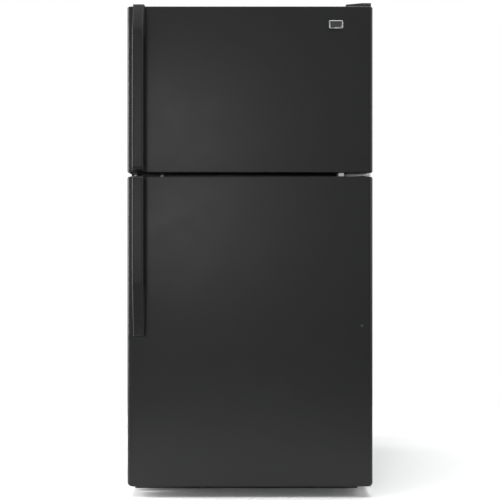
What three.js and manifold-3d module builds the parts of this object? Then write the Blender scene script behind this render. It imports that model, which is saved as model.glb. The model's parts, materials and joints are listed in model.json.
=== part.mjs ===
// Top freezer refrigerator: a steel cabinet with two right-hinged doors, a freezer above a
// fresh food compartment, and the cooling machinery behind and below.
// Millimetres. +Z is up, the doors face -Y, +X is to the right of someone facing the doors.
// The origin is on the floor, under the middle of the whole object.
import * as THREE from 'three';
import { mergeVertices } from 'three/addons/utils/BufferGeometryUtils.js';
import Module from 'manifold-3d';

const wasm = await Module();
wasm.setup();

// ---------------------------------------------------------------- driving dimensions
const WIDTH = 833; // across the doors
const DEPTH = 829; // handle face to back panel
const HEIGHT = 1680; // floor to the top of the hinge cover
const SHEET = 0.8; // steel sheet
const LINER = 2.5; // moulded plastic sheet
const GAP = 0.4; // clearance between neighbouring pieces

const HALF = WIDTH / 2;
const BACK = DEPTH / 2;
const HANDLE_FRONT = -DEPTH / 2;
const DOOR_FRONT = HANDLE_FRONT + 57.5;
const DOOR_BACK = DOOR_FRONT + 76;
const CASE_FRONT = DOOR_BACK + 12.5;

// cabinet
const CASE_HALF = HALF - 2.5;
const CASE_TOP = HEIGHT - 14;
const CASE_BOTTOM = 30;
const FLANGE = 36; // width of the cabinet's front flange, which the gaskets close on
const OPENING_HALF = CASE_HALF - FLANGE;
const PAN_FLOOR = 46;
const COVER_TOP = 303; // top of the rear service cover

// doors
const DOOR_SPLIT = [1088, 1102];
const LOWER_DOOR = { bottom: 38, top: DOOR_SPLIT[0], cornerBottom: 12, cornerTop: 7 };
const UPPER_DOOR = { bottom: DOOR_SPLIT[1], top: CASE_TOP - 2, cornerBottom: 5, cornerTop: 5 };
const DOOR_EDGE_RADIUS = 14; // rolled front edge down each side
const PIN = { x: HALF - 13.5, y: DOOR_FRONT + 37, radius: 4.5, bore: 5.2 };
const GASKET = { half: 394, width: 20 };

// compartments, inner faces of the liners
const FRESH = { half: 368.5, back: 355, floor: 92, top: 1052, stepY: 198, stepTop: 330 };
const COLD = { half: 358.5, back: 355, floor: 1138, top: 1602 };
const LIP_HALF = OPENING_HALF - GAP;

// door liners: a hollow ridge that reaches into the compartment and carries the bins
const RIDGE = { back: -205, width: 22 };
const LOWER_RIDGE = { half: 342, bottom: 108, top: 1036 };
const UPPER_RIDGE = { half: 330, bottom: 1152, top: 1588 };
const BIN_BACK = -190;

// handles
const HANDLE_X = [-392, -355];
const BAR = 19; // thickness of the grip
const UPPER_HANDLE = { top: 1663, footEnd: 1580, bottom: 1104 };
const LOWER_HANDLE = { top: 1087, footTop: 691, capTop: 599, bottom: 550 };

// shelves and drawers
const SHELF = { half: 362, front: -150, back: 334, bar: 14, thick: 14 };
const TRACK = { x: 180, width: 22, depth: 10, bottom: 358, top: 1010, pitch: 32 };
const SHELF_LEVELS = { upper: 560 + 7 * TRACK.pitch, lower: 560 };
const CRISPER = { inner: 4, outer: 362, front: -105, back: 190, top: 312 };
const GLASS = 4;

// running gear
const ROLLER = { radius: 20, width: 16, x: 350, y: 375 };
const LEG = { x: 352, y: -228, stud: 5, foot: 16 };

// ---------------------------------------------------------------- shape helpers
function box([x0, x1], [y0, y1], [z0, z1]) {
  const block = new THREE.BoxGeometry(x1 - x0, y1 - y0, z1 - z0);
  return block.translate((x0 + x1) / 2, (y0 + y1) / 2, (z0 + z1) / 2);
}

function extrude(shape, depth, curveSegments = 4) {
  return new THREE.ExtrudeGeometry(shape, { depth, bevelEnabled: false, curveSegments });
}

// a shape drawn in x and y, raised from z0 to z1
function prismZ(shape, [z0, z1], curveSegments) {
  return extrude(shape, z1 - z0, curveSegments).translate(0, 0, z0);
}

// a shape drawn in x and z, running from y0 back to y1
function prismY(shape, [y0, y1], curveSegments) {
  return extrude(shape, y1 - y0, curveSegments).rotateX(Math.PI / 2).translate(0, y1, 0);
}

// a shape drawn in y and z, running from x0 to x1
function prismX(shape, [x0, x1], curveSegments) {
  const turn = new THREE.Matrix4().makeBasis(
    new THREE.Vector3(0, 1, 0),
    new THREE.Vector3(0, 0, 1),
    new THREE.Vector3(1, 0, 0),
  );
  return extrude(shape, x1 - x0, curveSegments).applyMatrix4(turn).translate(x0, 0, 0);
}

function polygon(points) {
  return new THREE.Shape(points.map(([u, v]) => new THREE.Vector2(u, v)));
}

// a rectangle with rounded corners, low pair first
function rounded([u0, u1], [v0, v1], low, high = low) {
  const shape = new THREE.Shape();
  shape.moveTo(u0 + low, v0);
  shape.lineTo(u1 - low, v0);
  shape.absarc(u1 - low, v0 + low, low, -Math.PI / 2, 0, false);
  shape.lineTo(u1, v1 - high);
  shape.absarc(u1 - high, v1 - high, high, 0, Math.PI / 2, false);
  shape.lineTo(u0 + high, v1);
  shape.absarc(u0 + high, v1 - high, high, Math.PI / 2, Math.PI, false);
  shape.lineTo(u0, v0 + low);
  shape.absarc(u0 + low, v0 + low, low, Math.PI, Math.PI * 1.5, false);
  return shape;
}

// a flat frame: an outer rectangle with a rectangular hole
function frameShape([u0, u1], [v0, v1], bar) {
  const shape = polygon([[u0, v0], [u1, v0], [u1, v1], [u0, v1]]);
  const [a0, a1, b0, b1] = [u0 + bar, u1 - bar, v0 + bar, v1 - bar];
  shape.holes.push(polygon([[a0, b0], [a0, b1], [a1, b1], [a1, b0]]));
  return shape;
}

// a cylinder between two points along one axis
function rod(axis, radius, [from, to], across, sides = 16) {
  const cylinder = new THREE.CylinderGeometry(radius, radius, to - from, sides);
  const middle = (from + to) / 2;
  if (axis === 'x') return cylinder.rotateZ(-Math.PI / 2).translate(middle, across[0], across[1]);
  if (axis === 'y') return cylinder.translate(across[0], middle, across[1]);
  return cylinder.rotateX(Math.PI / 2).translate(across[0], across[1], middle);
}

function toSolid(geometry) {
  const bare = geometry.clone();
  bare.deleteAttribute('normal');
  bare.deleteAttribute('uv');
  const merged = mergeVertices(bare);
  const vertProperties = new Float32Array(merged.attributes.position.array);
  const triVerts = new Uint32Array(merged.index.array);
  return new wasm.Manifold(new wasm.Mesh({ numProp: 3, vertProperties, triVerts }));
}

function toGeometry(solid) {
  const mesh = solid.getMesh();
  const geometry = new THREE.BufferGeometry();
  geometry.setAttribute('position', new THREE.BufferAttribute(mesh.vertProperties, 3));
  geometry.setIndex(new THREE.BufferAttribute(mesh.triVerts, 1));
  geometry.computeVertexNormals();
  return geometry;
}

const joinAll = (geometries) => geometries.map(toSolid).reduce((sum, next) => sum.add(next));
const carve = (add, take) => toGeometry(joinAll(add).subtract(joinAll(take)));
const weld = (geometries) => toGeometry(joinAll(geometries));

// ---------------------------------------------------------------- cabinet
function cabinetWrapper() {
  const outer = box([-CASE_HALF, CASE_HALF], [CASE_FRONT, BACK - 1.5], [CASE_BOTTOM, CASE_TOP]);
  const inside = box(
    [SHEET - CASE_HALF, CASE_HALF - SHEET],
    [CASE_FRONT + SHEET, BACK],
    [CASE_BOTTOM - 1, CASE_TOP - SHEET],
  );
  const opening = box(
    [-OPENING_HALF, OPENING_HALF],
    [CASE_FRONT - 1, CASE_FRONT + 2],
    [CASE_BOTTOM - 1, CASE_TOP - FLANGE],
  );
  return carve([outer], [inside, opening]);
}

function backPanel() {
  return box([-CASE_HALF, CASE_HALF], [BACK - 1.1, BACK], [COVER_TOP + 2, CASE_TOP]);
}

// the floor sheet, its turned-up front flange, the step over the machine compartment,
// the roller forks with their axles, and the bosses that the levelling legs screw into
function basePan() {
  const half = CASE_HALF - SHEET - GAP;
  const front = CASE_FRONT + SHEET;
  const step = polygon([
    [238, PAN_FLOOR], [246, 300], [BACK - 4, 300], [BACK - 4, 299],
    [247, 299], [239, PAN_FLOOR],
  ]);
  const pieces = [
    box([-half, half], [front + GAP, BACK - 4], [PAN_FLOOR, PAN_FLOOR + SHEET]),
    box([-LIP_HALF, LIP_HALF], [CASE_FRONT, front + 1], [PAN_FLOOR, 86]),
    prismX(step, [-half, half]),
  ];
  for (const side of [-1, 1]) {
    const x = side * ROLLER.x;
    for (const cheek of [-1, 1]) {
      const at = x + cheek * (ROLLER.width / 2 + 3);
      pieces.push(box([at - 1, at + 1], [ROLLER.y - 16, ROLLER.y + 16], [12, PAN_FLOOR + 0.5]));
    }
    const reach = ROLLER.width / 2 + 3.5;
    pieces.push(rod('x', 4, [x - reach, x + reach], [ROLLER.y, ROLLER.radius], 12));
    const [left, right] = [side * LEG.x - 15, side * LEG.x + 15];
    pieces.push(box([left, right], [LEG.y - 15, LEG.y + 15], [24, PAN_FLOOR + 0.5]));
  }
  const bores = [-1, 1].map((side) => rod('z', LEG.stud + GAP, [20, 43], [side * LEG.x, LEG.y], 12));
  return carve(pieces, bores);
}

function linerBox(half, back, floor, top) {
  const lipBottom = floor - 3.5;
  const lipTop = Math.min(top + 27.6, top + (floor === COLD.floor ? 27.6 : 4));
  const outside = [
    box([-half - LINER, half + LINER], [CASE_FRONT, back + LINER], [floor - LINER, top + LINER]),
    box([-LIP_HALF, LIP_HALF], [CASE_FRONT, CASE_FRONT + LINER], [lipBottom, lipTop]),
  ];
  const inside = box([-half, half], [CASE_FRONT - 1, back], [floor, top]);
  return { outside, inside };
}

function freezerLiner() {
  const { outside, inside } = linerBox(COLD.half, COLD.back, COLD.floor, COLD.top);
  return carve(outside, [inside]);
}

// the fresh food liner steps up over the machine compartment, and carries the light switch's boss
function refrigeratorLiner() {
  const { half, back, floor, top, stepY, stepTop } = FRESH;
  const { outside } = linerBox(half, back, floor, top);
  const hollow = polygon([
    [CASE_FRONT - 1, floor], [stepY, floor], [stepY + 8, stepTop],
    [back, stepTop], [back, top], [CASE_FRONT - 1, top],
  ]);
  const underStep = polygon([
    [stepY + LINER, floor - 10], [stepY + LINER, floor - LINER], [stepY + 8 + LINER, stepTop - LINER],
    [back + 10, stepTop - LINER], [back + 10, floor - 10],
  ]);
  const shell = joinAll(outside)
    .subtract(toSolid(prismX(hollow, [-half, half])))
    .subtract(toSolid(prismX(underStep, [-half - 10, half + 10])));
  const boss = toSolid(box([316, 346], [-196, -150], [1015, top + 1]));
  const socket = toSolid(box([324.6, 337.4], [-197, -155], [1021.6, 1034.4]));
  return toGeometry(shell.add(boss).subtract(socket));
}

function mullionRail() {
  const [low, high] = [FRESH.top + 4.5, COLD.floor - 4];
  const block = box([-LIP_HALF, LIP_HALF], [CASE_FRONT, CASE_FRONT + 22], [low, high]);
  const channel = box(
    [-LIP_HALF - 1, LIP_HALF + 1],
    [CASE_FRONT + 1.5, CASE_FRONT + 23],
    [low + 1.5, high - 1.5],
  );
  return carve([block], [channel]);
}

function mullionPlug() {
  return rod('y', 6.5, [CASE_FRONT - 6, CASE_FRONT - GAP], [-306, 1095], 16);
}

function toeGrille() {
  const plate = box([-402, 376], [-262, -256], [6, 43]);
  const slots = [];
  for (let x = -388; x < 350; x += 62) {
    slots.push(box([x, x + 48], [-263, -255], [13, 17]));
    slots.push(box([x, x + 48], [-263, -255], [22, 26]));
    slots.push(box([x, x + 48], [-263, -255], [31, 35]));
  }
  return carve([plate], slots);
}

function backCover() {
  const sheet = box([-CASE_HALF, CASE_HALF], [BACK - 1.1, BACK], [CASE_BOTTOM + 4, COVER_TOP]);
  const slots = [];
  for (let column = 0; column < 7; column += 1) {
    for (const z of [80, 110, 140, 210, 240]) {
      const x = -330 + column * 100;
      slots.push(box([x, x + 62], [BACK - 3, BACK + 1], [z, z + 7]));
    }
  }
  return carve([sheet], slots);
}

// ---------------------------------------------------------------- hinges
function topHinge() {
  const leaf = polygon([
    [352, -205], [352, -262], [386, -334], [409, -334], [409, -205],
  ]);
  const plate = prismZ(leaf, [CASE_TOP + GAP, CASE_TOP + 4]);
  const pin = rod('z', PIN.radius, [CASE_TOP - 18, CASE_TOP + 1], [PIN.x, PIN.y]);
  return weld([plate, pin]);
}

function topHingeCover() {
  const base = CASE_TOP + GAP;
  const shell = polygon([[327, base], [412, base], [412, HEIGHT], [383, HEIGHT], [327, HEIGHT - 5]]);
  const hollow = polygon([
    [330, base - 1], [412 - 2, base - 1], [412 - 2, HEIGHT - 2], [383, HEIGHT - 2], [330, HEIGHT - 7],
  ]);
  return carve([prismY(shell, [-340, -196])], [prismY(hollow, [-338, -198])]);
}

function centerHinge() {
  const middle = (DOOR_SPLIT[0] + DOOR_SPLIT[1]) / 2;
  const leaf = polygon([
    [327, CASE_FRONT - 1], [357, -300], [386, -334], [412, -334], [414, CASE_FRONT - 1],
  ]);
  return weld([
    prismZ(leaf, [middle - 2, middle + 2]),
    box([301, 413], [CASE_FRONT - 3.5, CASE_FRONT - GAP], [middle - 14, middle + 14]),
    rod('z', PIN.radius, [middle - 19, middle + 19], [PIN.x, PIN.y]),
  ]);
}

function bottomHinge() {
  const leaf = polygon([
    [381, CASE_FRONT - 1], [388, -334], [413, -334], [413, CASE_FRONT - 1],
  ]);
  return weld([
    prismZ(leaf, [30, 34]),
    box([381, 413], [CASE_FRONT - 3.5, CASE_FRONT - GAP], [14, 33]),
    rod('z', PIN.radius, [33, 52], [PIN.x, PIN.y]),
  ]);
}

// ---------------------------------------------------------------- doors
// an open-backed steel pan: rolled edges down each side, rounded corners on its face
function doorPanel(door) {
  const half = HALF;
  const solidDoor = (inset, back) => {
    const plan = new THREE.Shape();
    const radius = DOOR_EDGE_RADIUS - inset;
    const [x, y] = [half - inset, DOOR_FRONT + inset];
    plan.moveTo(-x, back);
    plan.lineTo(-x, y + radius);
    plan.absarc(-x + radius, y + radius, radius, Math.PI, Math.PI * 1.5, false);
    plan.lineTo(x - radius, y);
    plan.absarc(x - radius, y + radius, radius, -Math.PI / 2, 0, false);
    plan.lineTo(x, back);
    const face = rounded(
      [-x, x],
      [door.bottom + inset, door.top - inset],
      door.cornerBottom - inset,
      door.cornerTop - inset,
    );
    const column = prismZ(plan, [door.bottom - 1, door.top + 1], 5);
    return toSolid(column).intersect(toSolid(prismY(face, [DOOR_FRONT - 1, back + 1], 4)));
  };
  const pinBore = toSolid(rod('z', PIN.bore, [door.bottom - 2, door.top + 2], [PIN.x, PIN.y]));
  const core = solidDoor(SHEET, DOOR_BACK + 2);
  const keptBore = pinBore.intersect(toSolid(box([380, 420], [-400, -200], [0, HEIGHT])));
  return toGeometry(solidDoor(0, DOOR_BACK).subtract(core).subtract(keptBore));
}

function doorLiner(door, ridge) {
  const inset = SHEET + GAP;
  const corner = Math.max(door.cornerBottom, door.cornerTop);
  const plate = rounded([-HALF + inset, HALF - inset], [door.bottom + inset, door.top - inset], corner);
  const ring = (shrink, y) => prismY(
    frameShape(
      [shrink - ridge.half, ridge.half - shrink],
      [ridge.bottom + shrink, ridge.top - shrink],
      RIDGE.width - 2 * shrink,
    ),
    y,
  );
  return carve(
    [prismY(plate, [DOOR_BACK - LINER, DOOR_BACK]), ring(0, [DOOR_BACK - 1, RIDGE.back])],
    [ring(LINER, [DOOR_BACK - 10, RIDGE.back - LINER])],
  );
}

function doorGasket(bottom, top) {
  const ring = frameShape([-GASKET.half, GASKET.half], [bottom, top], GASKET.width);
  return prismY(ring, [DOOR_BACK + GAP, CASE_FRONT - GAP]);
}

// an open-topped tray against the door liner, with a low front wall
function doorBin([x0, x1], [z0, z1], wall = LINER) {
  const front = DOOR_BACK + GAP;
  const tray = box([x0, x1], [front, BIN_BACK], [z0, z1]);
  const hollow = box([x0 + wall, x1 - wall], [front + wall, BIN_BACK - wall], [z0 + wall, z1 + 1]);
  return carve([tray], [hollow]);
}

function upperHandle() {
  const { top, footEnd, bottom } = UPPER_HANDLE;
  const face = DOOR_FRONT - GAP;
  const grip = HANDLE_FRONT + BAR;
  const side = polygon([
    [face, bottom], [-405, bottom], [-411, bottom + 3], [HANDLE_FRONT, bottom + 9],
    [HANDLE_FRONT, footEnd - 30], [-404, footEnd + 30], [-392, top - 8], [-384, top],
    [face, top], [face, footEnd], [-380, footEnd - 14], [grip, footEnd - 44],
    [grip, bottom + 26], [-380, bottom + 16], [face, bottom + 14],
  ]);
  return prismX(side, HANDLE_X);
}

function lowerHandle() {
  const { top, footTop, capTop } = LOWER_HANDLE;
  const face = DOOR_FRONT - GAP;
  const grip = HANDLE_FRONT + BAR;
  const side = polygon([
    [face, top], [-405, top], [-411, top - 3], [HANDLE_FRONT, top - 9],
    [HANDLE_FRONT, footTop + 30], [-404, footTop - 30], [-394, capTop + GAP],
    [face, capTop + GAP], [face, footTop], [-380, footTop + 14], [grip, footTop + 44],
    [grip, top - 26], [-380, top - 16], [face, top - 14],
  ]);
  return prismX(side, HANDLE_X);
}

function handleEndCap() {
  const { capTop, bottom } = LOWER_HANDLE;
  const face = DOOR_FRONT - GAP;
  const side = polygon([[face, bottom], [-384, bottom], [-389, bottom + 6], [-394, capTop], [face, capTop]]);
  return prismX(side, HANDLE_X);
}

function badge() {
  return prismY(rounded([267, 314], [1588, 1615], 3), [DOOR_FRONT - 3, DOOR_FRONT - GAP]);
}

function doorPlugButton() {
  return rod('y', 4.6, [DOOR_FRONT - 2, DOOR_FRONT - GAP], [378.6, 582], 20);
}

const DAIRY = { x: [-316, -6], z: [900, 1013] };

function dairyBox() {
  const [front, back] = [DOOR_BACK + GAP, BIN_BACK - 4];
  const shell = box(DAIRY.x, [front, back], DAIRY.z);
  const hollow = box(
    [DAIRY.x[0] + LINER, DAIRY.x[1] - LINER],
    [front + LINER, back + 1],
    [DAIRY.z[0] + LINER, DAIRY.z[1] - LINER],
  );
  return carve([shell], [hollow]);
}

function dairyLid() {
  return box(DAIRY.x, [BIN_BACK - 3.6, BIN_BACK], [DAIRY.z[0] + 1, DAIRY.z[1]]);
}

// ---------------------------------------------------------------- fresh food compartment
// rear-hung shelf: a moulded rim, two tapered arms under the glass, and hooks in the tracks
function shelfFrame(level) {
  const [bottom, top] = [level, level + SHELF.thick];
  const rim = prismZ(
    frameShape([-SHELF.half, SHELF.half], [SHELF.front, SHELF.back], SHELF.bar),
    [bottom, top],
  );
  const trackFace = FRESH.back - GAP - TRACK.depth;
  const pieces = [rim];
  for (const x of [-TRACK.x, TRACK.x]) {
    const arm = polygon([
      [SHELF.front + 4, bottom + 5.6], [SHELF.front + 4, bottom], [trackFace - GAP, bottom - 34],
      [trackFace - GAP, bottom + 5.6],
    ]);
    pieces.push(prismX(arm, [x - 1.5, x + 1.5]));
    pieces.push(box([x - 1.5, x + 1.5], [trackFace - 2, trackFace + 6], [bottom - 8, bottom]));
  }
  return weld(pieces);
}

function shelfGlass(level) {
  const inset = SHELF.bar + GAP;
  const bottom = level + 6;
  return box(
    [inset - SHELF.half, SHELF.half - inset],
    [SHELF.front + inset, SHELF.back - inset],
    [bottom, bottom + GLASS],
  );
}

// slotted steel channel screwed to the rear wall
function shelfTrack(side) {
  const x = side * TRACK.x;
  const [front, back] = [FRESH.back - GAP - TRACK.depth, FRESH.back - GAP];
  const bar = box([x - TRACK.width / 2, x + TRACK.width / 2], [front, back], [TRACK.bottom, TRACK.top]);
  const groove = box(
    [x - TRACK.width / 2 + 1.5, x + TRACK.width / 2 - 1.5],
    [front + 1.5, back + 1],
    [TRACK.bottom - 1, TRACK.top + 1],
  );
  const slots = [];
  const hook = SHELF_LEVELS.lower - 9;
  for (let step = -5; step <= 13; step += 1) {
    const z = hook + step * TRACK.pitch + 2;
    slots.push(box([x - 3, x + 3], [front - 1, front + 3], [z - 3, z + 11]));
  }
  return carve([bar], [groove, ...slots]);
}

const COVER = { half: 366, front: -150, back: 300, bottom: FRESH.stepTop + GAP, thick: 14 };

function crisperCoverFrame() {
  const rim = frameShape([-COVER.half, COVER.half], [COVER.front, COVER.back], 18);
  return weld([
    prismZ(rim, [COVER.bottom, COVER.bottom + COVER.thick]),
    box([-2.5, 2.5], [COVER.front + 2, FRESH.stepY - 6], [CRISPER.top + 4, COVER.bottom + 5.6]),
  ]);
}

function crisperCoverGlass() {
  const inset = 18 + GAP;
  return box(
    [inset - COVER.half, COVER.half - inset],
    [COVER.front + inset, COVER.back - inset],
    [COVER.bottom + 6, COVER.bottom + 6 + GLASS],
  );
}

function crisper(side) {
  const { inner, outer, front, back, top } = CRISPER;
  const span = (a, b) => (side > 0 ? [a, b] : [-b, -a]);
  const bottom = FRESH.floor + GAP;
  const tub = box(span(inner, outer), [front, back], [bottom, top]);
  const hollow = box(span(inner + LINER, outer - LINER), [front + LINER, back - LINER], [bottom + LINER, top + 1]);
  const pull = polygon([[front + 1, top], [front - 14, top], [front - 18, top - 26], [front + 1, top - 26]]);
  const finger = polygon([
    [front, top - 4], [front - 11, top - 4], [front - 14.5, top - 27], [front, top - 27],
  ]);
  const middle = (inner + outer) / 2;
  return carve(
    [tub, prismX(pull, span(middle - 90, middle + 90))],
    [hollow, prismX(finger, span(middle - 86, middle + 86))],
  );
}

const CONTROL = { half: 235, front: -30, back: 75, bottom: 1002 };

function controlHousing() {
  const { half, front, back, bottom } = CONTROL;
  const top = FRESH.top - GAP;
  const side = polygon([[front, bottom + 6], [back, bottom], [back, top], [front, top]]);
  const hollow = polygon([
    [front + LINER, bottom + 9], [back - LINER, bottom + 3], [back - LINER, top + 1], [front + LINER, top + 1],
  ]);
  return carve([prismX(side, [-half, half])], [prismX(hollow, [LINER - half, half - LINER])]);
}

function knob(x) {
  const z = 1029;
  const face = CONTROL.front - GAP;
  const dial = rod('y', 18, [face - 6, face], [x, z], 24);
  const grip = box([x - 4, x + 4], [face - 15, face - 5], [z - 15, z + 15]);
  return weld([dial, grip]);
}

function doorSwitch() {
  return box([325, 337], [-204.4, -163], [1022, 1034]);
}

// ---------------------------------------------------------------- freezer compartment
const FREEZER_SHELF = { half: 355, front: -130, back: 288, level: 1368, wire: 4 };

function freezerShelf() {
  const { half, front, back, level, wire } = FREEZER_SHELF;
  const pieces = [
    prismZ(frameShape([-half, half], [front, back], 7), [level, level + 7]),
    box([-half + 1, half - 1], [75, 79], [level + 1, level + 4]),
  ];
  const count = 22;
  for (let i = 1; i < count; i += 1) {
    const x = -half + (i * 2 * half) / count;
    pieces.push(box([x - wire / 2, x + wire / 2], [front + 2, back - 2], [level + 2, level + 6]));
  }
  return weld(pieces);
}

const FAN = { x: 0, z: 1495, radius: 52 };
const COVER_WALL = [296, 299];

// the plastic wall in front of the evaporator, with a fan opening and return-air slots
function evaporatorCover() {
  const half = COLD.half - GAP;
  const wall = box([-half, half], COVER_WALL, [COLD.floor + GAP, COLD.top - GAP]);
  const cuts = [rod('y', FAN.radius + 4, [COVER_WALL[0] - 1, COVER_WALL[1] + 1], [FAN.x, FAN.z], 24)];
  for (let i = 0; i < 9; i += 1) {
    const x = -300 + i * 68;
    cuts.push(box([x, x + 52], [COVER_WALL[0] - 1, COVER_WALL[1] + 1], [1156, 1166]));
  }
  return carve([wall], cuts);
}

function evaporatorCoil() {
  const pieces = [];
  const [low, pitch, passes] = [1205, 56, 4];
  for (let x = -285; x <= 285; x += 57) {
    pieces.push(box([x - 1, x + 1], [306, 346], [1180, 1400]));
  }
  for (let i = 0; i < passes; i += 1) {
    const z = low + i * pitch;
    const bend = i % 2 === 0 ? 306 : -306;
    pieces.push(rod('x', 5, [-310, 310], [326, z], 6));
    if (i < passes - 1) pieces.push(rod('z', 5, [z, z + pitch], [bend, 326], 6));
  }
  return weld(pieces);
}

function evaporatorFanMotor() {
  const body = rod('y', 26, [331, 352], [FAN.x, FAN.z], 16);
  const shaft = rod('y', 2.5, [318, 332], [FAN.x, FAN.z], 10);
  const arm = box([FAN.x - 70, FAN.x + 70], [349, 354.6], [FAN.z - 8, FAN.z + 8]);
  return weld([body, shaft, arm]);
}

// a bladed rotor on an axis along y, centred on the origin of its own group
function rotor(hub, radius, blades, depth, bore) {
  const pieces = [rod('y', hub, [-depth / 2, depth / 2], [0, 0], 16)];
  for (let i = 0; i < blades; i += 1) {
    const blade = new THREE.BoxGeometry(radius - hub + 3, 1.6, depth * 1.9);
    blade.rotateX(Math.PI / 3.2);
    blade.translate((radius + hub - 3) / 2, 0, 0);
    blade.rotateY((i * 2 * Math.PI) / blades);
    pieces.push(blade);
  }
  return carve(pieces, [rod('y', bore, [0, depth], [0, 0], 10)]);
}

// ---------------------------------------------------------------- machine compartment
const COMPRESSOR = { x: -215, y: 331, radius: 76, bottom: 60, top: 228 };
const COOLING_FAN = { x: 20, y: 330, z: 150, radius: 62 };
const CONDENSER = { x: [115, 365], y: [300, 350], low: 90, pitch: 30, passes: 6, tube: 4 };

// a welded steel can on a foot plate; its wall is thick enough to stand for the pump inside
function compressor() {
  const { x, y, radius, bottom, top } = COMPRESSOR;
  const wall = 9;
  const can = [
    [6, bottom], [radius - 22, bottom], [radius, bottom + 30], [radius, top - 42],
    [radius - 22, top - 8], [14, top], [6, top],
    [6, top - wall], [radius - 26, top - wall - 8], [radius - wall, top - 46],
    [radius - wall, bottom + 34], [radius - 26, bottom + wall], [6, bottom + wall], [6, bottom],
  ];
  const shell = new THREE.LatheGeometry(can.map(([r, z]) => new THREE.Vector2(r, z)), 20);
  shell.rotateX(Math.PI / 2).translate(x, y, 0);
  const plate = box([x - 92, x + 92], [y - 56, y + 56], [52, 56]);
  const posts = [-60, 60].map((dx) => box([x + dx - 8, x + dx + 8], [y - 20, y + 20], [55, 90]));
  const feet = [];
  for (const dx of [-80, 80]) {
    for (const dy of [-44, 44]) {
      feet.push(rod('z', 9, [PAN_FLOOR + SHEET + GAP, 53], [x + dx, y + dy], 10));
    }
  }
  return weld([shell, plate, ...posts, ...feet]);
}

// one long tube folded back and forth behind the cooling fan, in two banks
function condenserCoil() {
  const { x, y, low, pitch, passes, tube } = CONDENSER;
  const high = low + (passes - 1) * pitch;
  const pieces = [rod('y', tube, y, [x[1], high], 6)];
  for (const bank of y) {
    for (let i = 0; i < passes; i += 1) {
      const z = low + i * pitch;
      const bend = i % 2 === 0 ? x[1] : x[0];
      pieces.push(rod('x', tube, [x[0] - tube, x[1] + tube], [bank, z], 6));
      if (i < passes - 1) pieces.push(rod('z', tube, [z, z + pitch], [bend, bank], 6));
    }
  }
  return weld(pieces);
}

function condenserFanFrame() {
  const { x, y, z, radius } = COOLING_FAN;
  const plate = box([x + 14, x + 17], [y - 74, y + 74], [PAN_FLOOR + SHEET + GAP, z + 78]);
  const hole = rod('x', radius + 4, [x, x + 30], [y, z], 24);
  const ring = carve([plate], [hole]);
  const motor = rod('x', 24, [x + 30, x + 62], [y, z], 16);
  const shaft = rod('x', 2.5, [x, x + 31], [y, z], 10);
  const arms = [
    box([x + 14.5, x + 34], [y - 5, y + 5], [z + radius, z + radius + 10]),
    box([x + 32, x + 36], [y - 5, y + 5], [z + 10, z + radius + 10]),
    box([x + 14.5, x + 34], [y - 5, y + 5], [z - radius - 10, z - radius]),
    box([x + 32, x + 36], [y - 5, y + 5], [z - radius - 10, z - 10]),
  ];
  return weld([ring, motor, shaft, ...arms]);
}

function drainPan() {
  const bottom = PAN_FLOOR + SHEET + GAP;
  const tray = box([100, 385], [256, 404], [bottom, bottom + 24]);
  const hollow = box([102.5, 382.5], [258.5, 401.5], [bottom + 2.5, bottom + 25]);
  return carve([tray], [hollow]);
}

function roller(side) {
  const x = side * ROLLER.x;
  const half = ROLLER.width / 2;
  const wheel = rod('x', ROLLER.radius, [x - half, x + half], [ROLLER.y, ROLLER.radius], 32);
  const bore = rod('x', 4.6, [x - half - 1, x + half + 1], [ROLLER.y, ROLLER.radius], 12);
  return carve([wheel], [bore]);
}

function levelingLeg(side) {
  const at = [side * LEG.x, LEG.y];
  return weld([rod('z', LEG.foot, [0, 12], at, 20), rod('z', LEG.stud, [11, 41], at, 12)]);
}

// ---------------------------------------------------------------- assembly
const finish = (color, roughness, metalness = 0) => (
  new THREE.MeshStandardMaterial({ color, roughness, metalness })
);
const doorSteel = () => finish(0x35373a, 0.45, 0.4);
const caseSteel = () => finish(0x2b2c2e, 0.55, 0.3);
const blackPlastic = () => finish(0x17181a, 0.4);
const whitePlastic = () => finish(0xe9eaea, 0.45);
const clearPlastic = () => finish(0xdde5ea, 0.15);
const zincSteel = () => finish(0xb9bcc0, 0.35, 0.9);
const greyRubber = () => finish(0x3a3b3d, 0.8);
const glassPane = () => finish(0xcfe0da, 0.05);
const aluminium = () => finish(0xc6c9cc, 0.4, 0.9);
const darkSteel = () => finish(0x1d1e20, 0.5, 0.6);

// A moving group stands on its own joint, and its pieces are drawn in the object's frame.
function body(parent, [x, y, z] = [0, 0, 0]) {
  const group = new THREE.Group();
  group.position.set(x, y, z);
  parent.add(group);
  return group;
}

function add(group, name, geometry, material, local = false) {
  if (!local) geometry.translate(-group.position.x, -group.position.y, -group.position.z);
  const mesh = new THREE.Mesh(geometry, material);
  mesh.name = name;
  group.add(mesh);
}

const refrigerator = new THREE.Group();

const cabinet = body(refrigerator);
add(cabinet, 'cabinet_wrapper', cabinetWrapper(), caseSteel());
add(cabinet, 'back_panel', backPanel(), zincSteel());
add(cabinet, 'base_pan', basePan(), zincSteel());
add(cabinet, 'freezer_liner', freezerLiner(), whitePlastic());
add(cabinet, 'refrigerator_liner', refrigeratorLiner(), whitePlastic());
add(cabinet, 'mullion_rail', mullionRail(), caseSteel());
add(cabinet, 'mullion_plug', mullionPlug(), whitePlastic());
add(cabinet, 'toe_grille', toeGrille(), blackPlastic());
add(cabinet, 'rear_service_cover', backCover(), zincSteel());
add(cabinet, 'top_hinge', topHinge(), zincSteel());
add(cabinet, 'top_hinge_cover', topHingeCover(), blackPlastic());
add(cabinet, 'center_hinge', centerHinge(), zincSteel());
add(cabinet, 'bottom_hinge', bottomHinge(), zincSteel());
for (const [side, word] of [[-1, 'left'], [1, 'right']]) {
  add(cabinet, `shelf_track_${word}`, shelfTrack(side), zincSteel());
}
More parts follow.
